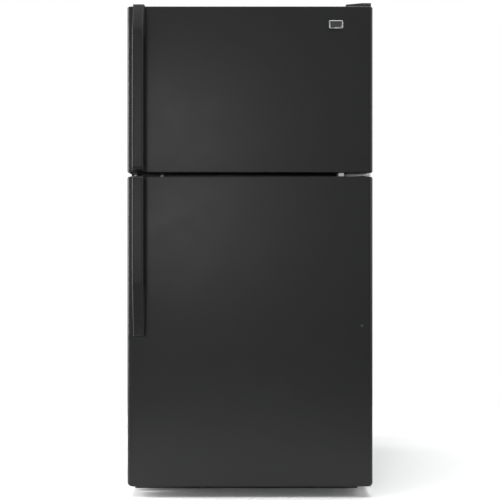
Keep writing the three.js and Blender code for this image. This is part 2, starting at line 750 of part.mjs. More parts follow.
for (const [word, level] of Object.entries(SHELF_LEVELS)) {
  add(cabinet, `${word}_shelf_frame`, shelfFrame(level), whitePlastic());
  add(cabinet, `${word}_shelf_glass`, shelfGlass(level), glassPane());
}
add(cabinet, 'crisper_cover_frame', crisperCoverFrame(), whitePlastic());
add(cabinet, 'crisper_cover_glass', crisperCoverGlass(), glassPane());
add(cabinet, 'control_housing', controlHousing(), whitePlastic());
add(cabinet, 'freezer_shelf', freezerShelf(), zincSteel());
add(cabinet, 'evaporator_cover', evaporatorCover(), whitePlastic());
add(cabinet, 'evaporator_coil', evaporatorCoil(), aluminium());
add(cabinet, 'evaporator_fan_motor', evaporatorFanMotor(), blackPlastic());
add(cabinet, 'compressor', compressor(), darkSteel());
add(cabinet, 'condenser_coil', condenserCoil(), darkSteel());
add(cabinet, 'condenser_fan_frame', condenserFanFrame(), zincSteel());
add(cabinet, 'drain_pan', drainPan(), blackPlastic());

const evaporatorFan = body(refrigerator, [FAN.x, 313, FAN.z]);
add(evaporatorFan, 'evaporator_fan', rotor(12, FAN.radius, 5, 12, 3.2), blackPlastic(), true);
const condenserFan = body(refrigerator, [COOLING_FAN.x, COOLING_FAN.y, COOLING_FAN.z]);
const condenserRotor = rotor(13, COOLING_FAN.radius, 5, 14, 3.2).rotateZ(-Math.PI / 2);
add(condenserFan, 'condenser_fan', condenserRotor, blackPlastic(), true);

for (const [side, word] of [[-1, 'left'], [1, 'right']]) {
  add(body(refrigerator), `crisper_${word}`, crisper(side), clearPlastic());
  const axle = [side * ROLLER.x, ROLLER.y, ROLLER.radius];
  add(body(refrigerator, axle), `rear_roller_${word}`, roller(side), blackPlastic());
  add(body(refrigerator, [side * LEG.x, LEG.y, 0]), `leveling_leg_${word}`, levelingLeg(side), zincSteel());
}
add(body(refrigerator, [-95, CONTROL.front, 1029]), 'temperature_knob', knob(-95), whitePlastic());
add(body(refrigerator, [95, CONTROL.front, 1029]), 'airflow_knob', knob(95), whitePlastic());
add(body(refrigerator, [331, -204, 1028]), 'door_switch', doorSwitch(), blackPlastic());

const freezerDoor = body(refrigerator, [PIN.x, PIN.y, UPPER_DOOR.bottom]);
add(freezerDoor, 'freezer_door_panel', doorPanel(UPPER_DOOR), doorSteel());
add(freezerDoor, 'freezer_door_liner', doorLiner(UPPER_DOOR, UPPER_RIDGE), whitePlastic());
add(freezerDoor, 'freezer_door_gasket', doorGasket(1114, 1652), greyRubber());
add(freezerDoor, 'freezer_handle', upperHandle(), blackPlastic());
add(freezerDoor, 'badge', badge(), zincSteel());
add(freezerDoor, 'freezer_upper_bin', doorBin([-306, 306], [1385, 1455]), whitePlastic());
add(freezerDoor, 'freezer_lower_bin', doorBin([-306, 306], [1176, 1256]), whitePlastic());

const refrigeratorDoor = body(refrigerator, [PIN.x, PIN.y, LOWER_DOOR.bottom]);
add(refrigeratorDoor, 'refrigerator_door_panel', doorPanel(LOWER_DOOR), doorSteel());
add(refrigeratorDoor, 'refrigerator_door_liner', doorLiner(LOWER_DOOR, LOWER_RIDGE), whitePlastic());
add(refrigeratorDoor, 'refrigerator_door_gasket', doorGasket(56, 1076), greyRubber());
add(refrigeratorDoor, 'refrigerator_handle', lowerHandle(), blackPlastic());
add(refrigeratorDoor, 'handle_end_cap', handleEndCap(), blackPlastic());
add(refrigeratorDoor, 'door_plug_button', doorPlugButton(), blackPlastic());
add(refrigeratorDoor, 'upper_door_bin', doorBin([6, 316], [872, 952]), clearPlastic());
add(refrigeratorDoor, 'middle_door_bin', doorBin([-316, 316], [612, 702]), clearPlastic());
add(refrigeratorDoor, 'lower_door_bin', doorBin([-316, 316], [368, 458]), clearPlastic());
add(refrigeratorDoor, 'bottom_door_bin', doorBin([-316, 316], [132, 232]), clearPlastic());
add(refrigeratorDoor, 'dairy_box', dairyBox(), whitePlastic());
add(body(refrigerator, [0, BIN_BACK, DAIRY.z[1]]), 'dairy_lid', dairyLid(), clearPlastic());

export default refrigerator;
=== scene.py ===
import json
import math

import bmesh
import bpy
from mathutils import Matrix, Vector

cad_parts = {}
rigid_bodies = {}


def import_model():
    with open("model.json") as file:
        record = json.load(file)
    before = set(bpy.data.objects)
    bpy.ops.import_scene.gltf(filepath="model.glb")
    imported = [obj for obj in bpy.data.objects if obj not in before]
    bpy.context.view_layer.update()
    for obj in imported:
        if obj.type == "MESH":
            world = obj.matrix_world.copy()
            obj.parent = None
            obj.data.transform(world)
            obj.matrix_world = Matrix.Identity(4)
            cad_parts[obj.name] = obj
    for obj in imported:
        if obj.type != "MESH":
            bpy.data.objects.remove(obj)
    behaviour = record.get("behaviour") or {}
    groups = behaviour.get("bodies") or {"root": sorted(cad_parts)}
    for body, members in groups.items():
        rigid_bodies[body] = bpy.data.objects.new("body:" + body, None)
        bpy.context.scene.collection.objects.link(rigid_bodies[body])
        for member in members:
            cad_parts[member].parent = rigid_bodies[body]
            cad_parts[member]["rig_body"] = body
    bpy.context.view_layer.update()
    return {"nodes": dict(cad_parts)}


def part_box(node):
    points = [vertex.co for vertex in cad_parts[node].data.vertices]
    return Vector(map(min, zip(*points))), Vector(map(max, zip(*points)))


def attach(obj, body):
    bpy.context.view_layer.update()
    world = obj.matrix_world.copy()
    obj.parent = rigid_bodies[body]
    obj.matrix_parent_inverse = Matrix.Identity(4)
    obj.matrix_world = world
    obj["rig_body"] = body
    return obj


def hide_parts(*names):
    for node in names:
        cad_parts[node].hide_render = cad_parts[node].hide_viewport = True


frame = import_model()
MM = 0.001

# ------------------------------------------------------------------ camera
# A straight front view from half the object's height, close enough that the right side of each
# handle shows. The picture is as high as the object, from the floor to the hinge cover.
door_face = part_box("freezer_door_panel")[0].y
view_distance = 2.8
view_size = 1.692
eye_level = 0.839
camera_data = bpy.data.cameras.new("camera")
camera_data.sensor_width = 36
camera_data.lens = camera_data.sensor_width * view_distance / view_size
camera = bpy.data.objects.new("camera", camera_data)
camera.location = (0, door_face - view_distance, eye_level)
camera.rotation_euler = (math.pi / 2, 0, 0)
bpy.context.scene.collection.objects.link(camera)
bpy.context.scene.camera = camera

# ------------------------------------------------------------------ studio
# A white room: a pale floor that fades into the background, broad soft lights above, in front
# and for the right side, a narrow strip that draws the left door edges, and a small card that
# the middle of the doors reflects.
bpy.context.scene.view_settings.view_transform = "Standard"
world = bpy.data.worlds.new("studio")
bpy.context.scene.world = world
world.use_nodes = True
world_nodes, world_links = world.node_tree.nodes, world.node_tree.links
seen = world_nodes["Background"]
seen.inputs["Color"].default_value = (1, 1, 1, 1)
ambient = world_nodes.new("ShaderNodeBackground")
ambient.inputs["Color"].default_value = (0.93, 0.96, 1, 1)
ambient.inputs["Strength"].default_value = 0.15
ray = world_nodes.new("ShaderNodeLightPath")
choose = world_nodes.new("ShaderNodeMixShader")
world_links.new(ray.outputs["Is Camera Ray"], choose.inputs[0])
world_links.new(ambient.outputs[0], choose.inputs[1])
world_links.new(seen.outputs[0], choose.inputs[2])
world_links.new(choose.outputs[0], world_nodes["World Output"].inputs["Surface"])

floor_mesh = bmesh.new()
bmesh.ops.create_grid(floor_mesh, x_segments=1, y_segments=1, size=20)
floor_data = bpy.data.meshes.new("floor")
floor_mesh.to_mesh(floor_data)
floor_mesh.free()
floor = bpy.data.objects.new("floor", floor_data)
bpy.context.scene.collection.objects.link(floor)
floor_paint = bpy.data.materials.new("floor_paint")
floor_paint.use_nodes = True
paint_nodes, paint_links = floor_paint.node_tree.nodes, floor_paint.node_tree.links
floor_shader = paint_nodes["Principled BSDF"]
floor_shader.inputs["Base Color"].default_value = (0.93, 0.93, 0.93, 1)
floor_shader.inputs["Roughness"].default_value = 0.9
floor_shader.inputs["Specular IOR Level"].default_value = 0.1
floor_place = paint_nodes.new("ShaderNodeTexCoord")
floor_reach = paint_nodes.new("ShaderNodeVectorMath")
floor_reach.operation = "LENGTH"
floor_fade = paint_nodes.new("ShaderNodeMapRange")
floor_fade.interpolation_type = "SMOOTHSTEP"
floor_fade.inputs["From Min"].default_value = 0.75
floor_fade.inputs["From Max"].default_value = 1.9
floor_fade.inputs["To Min"].default_value = 1
floor_fade.inputs["To Max"].default_value = 0
paint_links.new(floor_place.outputs["Object"], floor_reach.inputs[0])
paint_links.new(floor_reach.outputs["Value"], floor_fade.inputs["Value"])
paint_links.new(floor_fade.outputs["Result"], floor_shader.inputs["Alpha"])
floor_data.materials.append(floor_paint)


def soft_light(name, place, aim, size, energy):
    data = bpy.data.lights.new(name, "AREA")
    data.shape = "RECTANGLE"
    data.size, data.size_y = size
    data.energy = energy
    lamp = bpy.data.objects.new(name, data)
    lamp.location = place
    lamp.rotation_euler = (Vector(aim) - Vector(place)).to_track_quat("-Z", "Y").to_euler()
    bpy.context.scene.collection.objects.link(lamp)


soft_light("top_light", (0, -0.3, 3.7), (0, -0.3, 0), (4.6, 3.0), 200)
soft_light("front_wall", (0, -6.2, 1.7), (0, -0.3, 0.9), (6.0, 4.2), 52)
soft_light("left_light", (-2.7, -0.15, 1.35), (-0.4, -0.4, 1.2), (0.55, 2.5), 130)
soft_light("right_light", (3.4, -1.4, 1.5), (0.3, -0.3, 0.9), (0.9, 2.2), 30)
soft_light("right_wall", (5.5, 0.2, 1.9), (0.4, 0.2, 0.9), (5.0, 3.8), 115)
soft_light("reflected_card", (-0.95, -4.6, 1.38), (-0.25, -0.36, 1.1), (0.8, 0.7), 34)

# ------------------------------------------------------------------ door panels
# Each door's outside is one pan of painted steel sheet with a fine pebbled face, rolled round
# its two upright edges and folded crisply at top and bottom, with a plastic liner closing it.


def mm(*lengths):
    """Lengths in millimetres as metres."""
    return tuple(length * MM for length in lengths)


def group_tree(name, inputs, outputs):
    """A shader node group with named inputs, each with its default value, and named outputs."""
    tree = bpy.data.node_groups.new(name, "ShaderNodeTree")
    for label, value in inputs.items():
        kind = "NodeSocketColor" if isinstance(value, tuple) else "NodeSocketFloat"
        socket = tree.interface.new_socket(name=label, in_out="INPUT", socket_type=kind)
        socket.default_value = value
    for label, kind in outputs.items():
        tree.interface.new_socket(name=label, in_out="OUTPUT", socket_type=kind)
    return tree, tree.nodes.new("NodeGroupInput").outputs, tree.nodes.new("NodeGroupOutput").inputs


def math_node(tree, operation, *values):
    """A math node fed by sockets or numbers; returns its output."""
    node = tree.nodes.new("ShaderNodeMath")
    node.operation = operation
    for socket, value in zip(node.inputs, values):
        if isinstance(value, bpy.types.NodeSocket):
            tree.links.new(value, socket)
        else:
            socket.default_value = value
    return node.outputs[0]


def noise_node(tree, kind, scale, **settings):
    """A texture node on object coordinates, at the scale that a socket gives."""
    node = tree.nodes.new(kind)
    for socket, value in settings.items():
        node.inputs[socket].default_value = value
    place = tree.nodes.new("ShaderNodeTexCoord")
    tree.links.new(place.outputs["Object"], node.inputs["Vector"])
    tree.links.new(scale, node.inputs["Scale"])
    return node


def cloud_group():
    """Slow changes over a surface: a slightly uneven colour, and roughness that handling leaves."""
    tree, given, made = group_tree("surface_variation", {
        "Color": (0.5, 0.5, 0.5, 1), "Color Spread": 0.05, "Roughness": 0.4, "Roughness Spread": 0.05,
        "Patch Scale": 6.0,
    }, {"Color": "NodeSocketColor", "Roughness": "NodeSocketFloat"})
    cloud = noise_node(tree, "ShaderNodeTexNoise", given["Patch Scale"], Detail=4)
    centred = math_node(tree, "SUBTRACT", cloud.outputs["Fac"], 0.5)
    tint = tree.nodes.new("ShaderNodeVectorMath")
    tint.operation = "SCALE"
    tree.links.new(given["Color"], tint.inputs[0])
    gain = math_node(tree, "MULTIPLY_ADD", centred, given["Color Spread"], 1)
    tree.links.new(gain, tint.inputs["Scale"])
    tree.links.new(tint.outputs[0], made["Color"])
    rough = math_node(tree, "MULTIPLY_ADD", centred, given["Roughness Spread"], given["Roughness"])
    tree.links.new(rough, made["Roughness"])
    return tree


def grain_group():
    """Moulded or sprayed grain: rounded pebbles with finer noise on them, as a height."""
    tree, given, made = group_tree(
        "pebble_grain", {"Pebble Scale": 500.0, "Fine Share": 0.4}, {"Height": "NodeSocketFloat"}
    )
    pebbles = noise_node(tree, "ShaderNodeTexVoronoi", given["Pebble Scale"])
    pebbles.feature = "SMOOTH_F1"
    finer = math_node(tree, "MULTIPLY", given["Pebble Scale"], 2.7)
    noise = noise_node(tree, "ShaderNodeTexNoise", finer, Detail=2)
    blend = tree.nodes.new("ShaderNodeMix")
    blend.data_type = "FLOAT"
    tree.links.new(given["Fine Share"], blend.inputs["Factor"])
    tree.links.new(pebbles.outputs["Distance"], blend.inputs["A"])
    tree.links.new(noise.outputs["Fac"], blend.inputs["B"])
    tree.links.new(blend.outputs["Result"], made["Height"])
    return tree


SURFACE_VARIATION = cloud_group()
PEBBLE_GRAIN = grain_group()


def finish_material(name, color, roughness, spread=(0.08, 0.06), patches=6.0, grain=(700.0, 0.03), **fixed):
    """A material with uneven colour and roughness and a grain of the given scale and depth in mm."""
    material = bpy.data.materials.new(name)
    material.use_nodes = True
    nodes, links = material.node_tree.nodes, material.node_tree.links
    shader = nodes["Principled BSDF"]
    for socket, value in fixed.items():
        shader.inputs[socket.replace("_", " ")].default_value = value
    variation = nodes.new("ShaderNodeGroup")
    variation.node_tree = SURFACE_VARIATION
    variation.inputs["Color"].default_value = (*color, 1)
    variation.inputs["Color Spread"].default_value = spread[0] * 2
    variation.inputs["Roughness"].default_value = roughness
    variation.inputs["Roughness Spread"].default_value = spread[1] * 2
    variation.inputs["Patch Scale"].default_value = patches
    links.new(variation.outputs["Color"], shader.inputs["Base Color"])
    links.new(variation.outputs["Roughness"], shader.inputs["Roughness"])
    pebbles = nodes.new("ShaderNodeGroup")
    pebbles.node_tree = PEBBLE_GRAIN
    pebbles.inputs["Pebble Scale"].default_value = grain[0]
    bump = nodes.new("ShaderNodeBump")
    bump.inputs["Distance"].default_value = grain[1] * MM
    links.new(pebbles.outputs["Height"], bump.inputs["Height"])
    links.new(bump.outputs["Normal"], shader.inputs["Normal"])
    return material


def piece(name, mesh, body, material, crease=35, extra_materials=()):
    """Makes a finished bmesh a piece that rides on a body, smooth except at its creases."""
    data = bpy.data.meshes.new(name)
    mesh.to_mesh(data)
    mesh.free()
    data.materials.append(material)
    for other in extra_materials:
        data.materials.append(other)
    data.shade_smooth()
    data.set_sharp_from_angle(angle=math.radians(crease))
    thing = bpy.data.objects.new(name, data)
    bpy.context.scene.collection.objects.link(thing)
    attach(thing, body)
    return thing


def node_piece(name, mesh, node, material, crease=35, extra_materials=()):
    """The same for a piece that stands for one CAD node."""
    body = frame["nodes"][node]["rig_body"]
    thing = piece(name, mesh, body, material, crease, extra_materials)
    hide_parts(node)
    return thing


def rounded_panel(mesh, x, z, y, radii, segments=8):
    """A flat face across the front, its corners rounded: left low, right low, right top, left top."""
    places = ((x[0], z[0]), (x[1], z[0]), (x[1], z[1]), (x[0], z[1]))
    corners = [mesh.verts.new((across, y, up)) for across, up in places]
    mesh.faces.new(corners)
    for corner, radius in zip(corners, radii):
        bmesh.ops.bevel(
            mesh, geom=[corner], offset=radius, segments=segments,
            profile=0.5, affect="VERTICES", material=-1,
        )
    mesh.faces.ensure_lookup_table()
    return mesh.faces[0]


def extruded(mesh, face, shift):
    """Extrudes a face by a shift and returns the new face and its vertices."""
    made = bmesh.ops.extrude_face_region(mesh, geom=[face])["geom"]
    verts = [item for item in made if isinstance(item, bmesh.types.BMVert)]
    bmesh.ops.translate(mesh, verts=verts, vec=shift)
    top = [item for item in made if isinstance(item, bmesh.types.BMFace)][0]
    return top, verts


def door_pan(node, radii, roll=14 * MM, fold=3 * MM, steps=9):
    """A door's steel: its outline drawn forward, then rolled in at the sides and folded at the ends."""
    low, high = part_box(node)
    centre = (low + high) / 2
    half_x, half_z = (high.x - low.x) / 2, (high.z - low.z) / 2
    mesh = bmesh.new()
    face = rounded_panel(mesh, (low.x, high.x), (low.z, high.z), high.y, radii)
    face, _ = extruded(mesh, face, (0, low.y + roll - high.y, 0))
    side_in, end_in = 0.0, 0.0
    for step in range(1, steps + 1):
        depth = roll * math.sin(step / steps * math.pi / 2)
        ahead = roll - depth
        side_next = roll - math.sqrt(max(0.0, roll * roll - depth * depth))
        past_fold = max(0.0, depth - (roll - fold))
        end_next = fold - math.sqrt(max(0.0, fold * fold - past_fold * past_fold))
        scale_x = (half_x - side_next) / (half_x - side_in)
        scale_z = (half_z - end_next) / (half_z - end_in)
        now = face.calc_center_median().y
        face, verts = extruded(mesh, face, (0, low.y + ahead - now, 0))
        bmesh.ops.scale(
            mesh, vec=(scale_x, 1, scale_z), space=Matrix.Translation(-centre), verts=verts
        )
        side_in, end_in = side_next, end_next
    bmesh.ops.recalc_face_normals(mesh, faces=mesh.faces)
    behind = [f for f in mesh.faces if f.calc_center_median().y > high.y - 0.01 * MM]
    bmesh.ops.delete(mesh, geom=behind, context="FACES_ONLY")
    return mesh


def solidify(thing, thickness, offset=-1):
    """Gives a skin its sheet's thickness."""
    wall = thing.modifiers.new("wall", "SOLIDIFY")
    wall.thickness = thickness
    wall.offset = offset
    wall.use_even_offset = True


door_steel = finish_material(
    "door_steel", (0.0080, 0.0082, 0.0086), 0.42, spread=(0.10, 0.05), patches=9.0, grain=(620.0, 0.10),
    Specular_IOR_Level=0.3,
)
for node, radii in (
    ("freezer_door_panel", mm(5, 5, 5, 5)),
    ("refrigerator_door_panel", mm(12, 12, 7, 7)),
):
    pan = door_pan(node, radii)
    solidify(node_piece(node.replace("panel", "skin"), pan, node, door_steel, 40), 0.8 * MM)

# ------------------------------------------------------------------ handles
# Each handle is one bar of satin black plastic screwed to the door at both ends. It stands
# clear of the door along the grip and comes down to a long foot; the lower one ends in a cap.


def filleted(points, steps=6):
    """An outline of (u, v, radius) corners with each corner drawn as an arc."""
    outline = []
    for i, (u, v, radius) in enumerate(points):
        here = Vector((u, v))
        if radius == 0:
            outline.append(here)
            continue
        back = (Vector(points[i - 1][:2]) - here).normalized()
        on = (Vector(points[(i + 1) % len(points)][:2]) - here).normalized()
        half = back.angle(on) / 2
        centre = here + (back + on).normalized() * (radius / math.sin(half))
        arm = here + back * (radius / math.tan(half)) - centre
        turn = arm.angle_signed(here + on * (radius / math.tan(half)) - centre)
        for step in range(steps + 1):
            outline.append(centre + Matrix.Rotation(-turn * step / steps, 2) @ arm)
    return outline


def side_cut(outline, x):
    """A piece cut to a side outline of (y, z) points, from one x to another."""
    mesh = bmesh.new()
    face = mesh.faces.new([mesh.verts.new((x[0], y, z)) for y, z in outline])
    extruded(mesh, face, (x[1] - x[0], 0, 0))
    bmesh.ops.recalc_face_normals(mesh, faces=mesh.faces)
    return mesh


def round_over(mesh, width, segments, chosen, least=25, clamp=True):
    """Bevels the edges that a test chooses, where the faces meet at an angle."""
    edges = [
        e for e in mesh.edges
        if len(e.link_faces) == 2 and e.calc_face_angle() > math.radians(least) and chosen(e)
    ]
    bmesh.ops.bevel(
        mesh, geom=edges, offset=width, offset_type="OFFSET", segments=segments,
        profile=0.5, affect="EDGES", clamp_overlap=clamp, material=-1,
    )


def grip_bar(outline, x, front_round=6 * MM):
    """The bar with its front edges well rounded; the edges towards the door are not rounded."""
    mesh = side_cut(outline, x)

    def at_side(e):
        a, b = e.verts
        return abs(a.co.x - b.co.x) < MM

    def in_front(e):
        ahead = [f for f in e.link_faces if abs(f.normal.x) < 0.5]
        return at_side(e) and len(ahead) == 1 and ahead[0].normal.y < -0.3

    round_over(mesh, front_round, 7, in_front, least=60, clamp=False)
    bmesh.ops.remove_doubles(mesh, verts=mesh.verts, dist=0.02 * MM)
    return mesh


handle_plastic = finish_material(
    "handle_plastic", (0.018, 0.018, 0.0184), 0.42, spread=(0.12, 0.06), patches=18.0, grain=(1500.0, 0.02),
    Specular_IOR_Level=0.16,
)
bar_low, bar_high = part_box("freezer_handle")
bar_x = (bar_low.x, bar_high.x)
on_door = bar_high.y
front = bar_low.y
grip = front + 19 * MM
upper_outline = filleted([
    (on_door, bar_low.z, 0), (front, bar_low.z, 14 * MM), (front, bar_high.z - 95 * MM, 90 * MM),
    (front + 26 * MM, bar_high.z, 8 * MM), (on_door, bar_high.z, 0),
    (on_door, bar_high.z - 83 * MM, 6 * MM), (grip, bar_high.z - 130 * MM, 60 * MM),
    (grip, bar_low.z + 16 * MM, 12 * MM), (on_door, bar_low.z + 12 * MM, 0),
])
node_piece("freezer_handle_bar", grip_bar(upper_outline, bar_x), "freezer_handle", handle_plastic)

low_bar, top_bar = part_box("refrigerator_handle")
lower_outline = filleted([
    (on_door, top_bar.z, 0), (front, top_bar.z, 14 * MM), (front, low_bar.z + 130 * MM, 120 * MM),
    (front + 20 * MM, low_bar.z, 0), (on_door, low_bar.z, 0),
    (on_door, low_bar.z + 92 * MM, 6 * MM), (grip, low_bar.z + 136 * MM, 60 * MM),
    (grip, top_bar.z - 16 * MM, 12 * MM), (on_door, top_bar.z - 12 * MM, 0),
])
node_piece(
    "refrigerator_handle_bar", grip_bar(lower_outline, bar_x), "refrigerator_handle", handle_plastic
)
cap_low, cap_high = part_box("handle_end_cap")
cap_outline = filleted([
    (on_door, cap_low.z, 0), (front + 29 * MM, cap_low.z, 7 * MM),
    (front + 20.4 * MM, cap_high.z, 0), (on_door, cap_high.z, 0),
])
node_piece("handle_foot_cap", grip_bar(cap_outline, bar_x), "handle_end_cap", handle_plastic)

# ------------------------------------------------------------------ badge and door plug
# A small cast frame of bright metal stuck on the upper door, with a plain dark field and two
# raised bars, and the round plastic plug that closes the hole for a handle on the other side.
badge_metal = finish_material(
    "badge_metal", (0.52, 0.52, 0.53), 0.30, spread=(0.10, 0.08), patches=260.0, grain=(3200.0, 0.02),
    Metallic=1.0,
)
badge_low, badge_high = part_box("badge")
mesh = bmesh.new()
face = rounded_panel(
    mesh, (badge_low.x, badge_high.x), (badge_low.z, badge_high.z), badge_high.y, [3 * MM] * 4
)
face, _ = extruded(mesh, face, (0, badge_low.y - badge_high.y, 0))
bmesh.ops.inset_region(mesh, faces=[face], thickness=0.5 * MM, depth=0.3 * MM)
bmesh.ops.inset_region(mesh, faces=[face], thickness=1.3 * MM, depth=0)
bmesh.ops.inset_region(mesh, faces=[face], thickness=0.4 * MM, depth=-0.9 * MM)
bmesh.ops.recalc_face_normals(mesh, faces=mesh.faces)
node_piece("badge_frame", mesh, "badge", badge_metal, 30)


def within(low, high, gap):
    """Limits drawn in from both ends by a gap in millimetres."""
    return (low + gap * MM, high - gap * MM)


def about(middle, reach):
    """Limits at a reach in millimetres either side of a place."""
    return (middle - reach * MM, middle + reach * MM)


def block(mesh, x, y, z):
    """A box between limits, added to a mesh; returns its vertices."""
    size = Vector((x[1] - x[0], y[1] - y[0], z[1] - z[0]))
    place = Matrix.Translation(((x[0] + x[1]) / 2, (y[0] + y[1]) / 2, (z[0] + z[1]) / 2))
    return bmesh.ops.create_cube(mesh, size=1, matrix=place @ Matrix.Diagonal((*size, 1)))["verts"]


def soft_block(mesh, x, y, z, width, segments=2):
    """A box with rounded edges."""
    verts = block(mesh, x, y, z)
    edges = list({e for v in verts for e in v.link_edges})
    bmesh.ops.bevel(
        mesh, geom=edges, offset=width, segments=segments, profile=0.5, affect="EDGES",
        clamp_overlap=True, material=-1,
    )


def block_piece(name, x, y, z, width, segments, body, material):
    """A box with rounded edges as a piece of its own."""
    mesh = bmesh.new()
    soft_block(mesh, x, y, z, width, segments)
    piece(name, mesh, body, material)


mesh = bmesh.new()
field_y = badge_low.y + 0.5 * MM
inner_low, inner_high = badge_low + Vector(mm(0.8, 0, 0.8)), badge_high - Vector(mm(0.8, 0, 0.8))
for x, z in (
    ((inner_low.x, badge_low.x + 5.2 * MM), (inner_low.z, inner_high.z)),
    ((badge_high.x - 3.6 * MM, inner_high.x), (inner_low.z, inner_high.z)),
    ((badge_low.x + 20 * MM, badge_high.x - 2 * MM), (inner_low.z, badge_low.z + 4.4 * MM)),
):
    soft_block(mesh, x, (badge_low.y - 0.2 * MM, field_y), z, 0.35 * MM)
piece("badge_bars", mesh, "freezer_door", badge_metal)
badge_field = finish_material(
    "badge_field", (0.03, 0.03, 0.032), 0.4, spread=(0.15, 0.1), patches=200.0, grain=(2600.0, 0.03)
)
block_piece(
    "badge_panel", within(badge_low.x, badge_high.x, 2.6),
    (field_y - 0.2 * MM, field_y + 1 * MM), within(badge_low.z, badge_high.z, 2.6),
    0.1 * MM, 1, "freezer_door", badge_field
)

AROUND_X = Matrix.Rotation(math.pi / 2, 4, "Y")
AROUND_Y = Matrix.Rotation(math.pi / 2, 4, "X")


def add_part(mesh, part):
    """Moves the contents of one bmesh into another."""
    data = bpy.data.meshes.new("part")
    part.to_mesh(data)
    part.free()
    mesh.from_mesh(data)
    bpy.data.meshes.remove(data)


def turned(mesh, profile, place, turn=None, sides=32):
    """Adds the shape that a profile of (radius, height) in millimetres makes, spun round its axis."""
    part = bmesh.new()
    verts = [part.verts.new(mm(r, 0, h)) for r, h in profile]
    edges = [part.edges.new(pair) for pair in zip(verts, verts[1:])]
    bmesh.ops.spin(
        part, geom=verts + edges, cent=(0, 0, 0), axis=(0, 0, 1), angle=math.tau,
        steps=sides, use_merge=True,
    )
    bmesh.ops.remove_doubles(part, verts=part.verts, dist=0.01 * MM)
    bmesh.ops.recalc_face_normals(part, faces=part.faces)
    stand = Matrix.Translation(place) @ (turn or Matrix.Identity(4))
    bmesh.ops.transform(part, matrix=stand, verts=part.verts)
    add_part(mesh, part)


black_plastic = finish_material(
    "black_plastic", (0.012, 0.012, 0.0125), 0.38, spread=(0.12, 0.08), patches=30.0, grain=(1100.0, 0.05)
)
plug_low, plug_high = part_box("door_plug_button")
plug_centre = (plug_low + plug_high) / 2
mesh = bmesh.new()
turned(mesh, [(0, 1.9), (2.6, 1.75), (4.0, 1.2), (4.6, 0.4), (4.6, 0), (0, 0)],
       (plug_centre.x, plug_high.y, plug_centre.z), AROUND_Y, 28)
node_piece("door_plug_head", mesh, "door_plug_button", black_plastic)

# ------------------------------------------------------------------ cabinet shell
# One sheet of black painted steel wraps the top and both sides and turns in at the front as a
# flange. A plain sheet closes the back, screwed on, over a louvred cover low down, and a
# galvanised pan, painted along its front, closes the bottom.


def lofted(rings, end=True, start=False, closed=False, steps=5, upright=False):
    """A skin through rounded rectangles, each (x limits, z limits, corner radii, y)."""
    mesh = bmesh.new()
    loops = []
    for x, z, radii, y in rings:
        if isinstance(radii, (int, float)):
            radii = (radii,) * 4
        places = ((x[0], z[0]), (x[1], z[0]), (x[1], z[1]), (x[0], z[1]))
        outline = filleted([(*place, r) for place, r in zip(places, radii)], steps)
        verts = [mesh.verts.new((across, y, up)) for across, up in outline]
        loops.append([mesh.edges.new(pair) for pair in zip(verts, verts[1:] + verts[:1])])
    for loop, wanted in ((loops[-1], end), (loops[0], start)):
        if wanted:
            bmesh.ops.contextual_create(mesh, geom=loop)
    for one, other in zip(loops, loops[1:] + loops[:1] if closed else loops[1:]):
        bmesh.ops.bridge_loops(mesh, edges=one + other)
    if upright:
        stand = Matrix(((1, 0, 0, 0), (0, 0, 1, 0), (0, 1, 0, 0), (0, 0, 0, 1)))
        bmesh.ops.transform(mesh, matrix=stand, verts=mesh.verts)
    bmesh.ops.recalc_face_normals(mesh, faces=mesh.faces)
    return mesh


def quarter(radius, steps=4):
    """Points round a quarter circle, each (how far in, how far along), from (0, 0) to the radius."""
    turns = [i / steps * math.pi / 2 for i in range(steps + 1)]
    return [(radius * (1 - math.cos(t)), radius * math.sin(t)) for t in turns]


case_steel = finish_material(
    "case_steel", (0.0080, 0.0082, 0.0086), 0.45, spread=(0.12, 0.06), patches=7.0, grain=(620.0, 0.10),
    Specular_IOR_Level=0.3,
)
case_low, case_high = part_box("cabinet_wrapper")
flange = 36 * MM
edge = 4 * MM


def case_ring(inset, y):
    radius = max(edge + 3 * MM - inset, 1 * MM)
    return (
        (case_low.x + inset, case_high.x - inset), (case_low.z, case_high.z - inset),
        (0, 0, radius, radius), y,
    )


rings = [case_ring(0, case_high.y)]
rings += [case_ring(inset, case_low.y + edge - along) for inset, along in quarter(edge)]
rings += [case_ring(flange, case_low.y)]
mesh = lofted(rings, end=False)
under = [f for f in mesh.faces if f.calc_center_median().z < case_low.z + 0.5 * MM and abs(f.normal.z) > 0.9]
bmesh.ops.delete(mesh, geom=under, context="FACES_ONLY")
shell = node_piece("cabinet_shell", mesh, "cabinet_wrapper", case_steel, 40)
solidify(shell, 0.8 * MM)

galvanised_steel = finish_material(
    "galvanised_steel", (0.40, 0.41, 0.42), 0.42, spread=(0.16, 0.10), patches=45.0, grain=(300.0, 0.02),
    Metallic=0.85,
)
zinc_steel = finish_material(
    "zinc_steel", (0.60, 0.60, 0.59), 0.34, spread=(0.12, 0.10), patches=90.0, grain=(900.0, 0.02),
    Metallic=0.9,
)


def softened(node, width=0, segments=2, least=30):
    """A copy of a node's CAD mesh, merged and cleaned, with its sharp edges rounded."""
    mesh = bmesh.new()
    mesh.from_mesh(frame["nodes"][node].data)
    bmesh.ops.transform(mesh, matrix=frame["nodes"][node].matrix_world, verts=mesh.verts)
    bmesh.ops.remove_doubles(mesh, verts=mesh.verts, dist=0.00002)
    bmesh.ops.dissolve_limit(
        mesh, angle_limit=math.radians(1), verts=mesh.verts, edges=mesh.edges,
    )
    bmesh.ops.recalc_face_normals(mesh, faces=mesh.faces)
    if width:
        round_over(mesh, width, segments, lambda e: True, least)
    return mesh


def softened_piece(name, node, material, *bevel):
    """A piece with the CAD shape, its edges rounded by the bevel's width, segments and least angle."""
    node_piece(name, softened(node, *bevel), node, material)


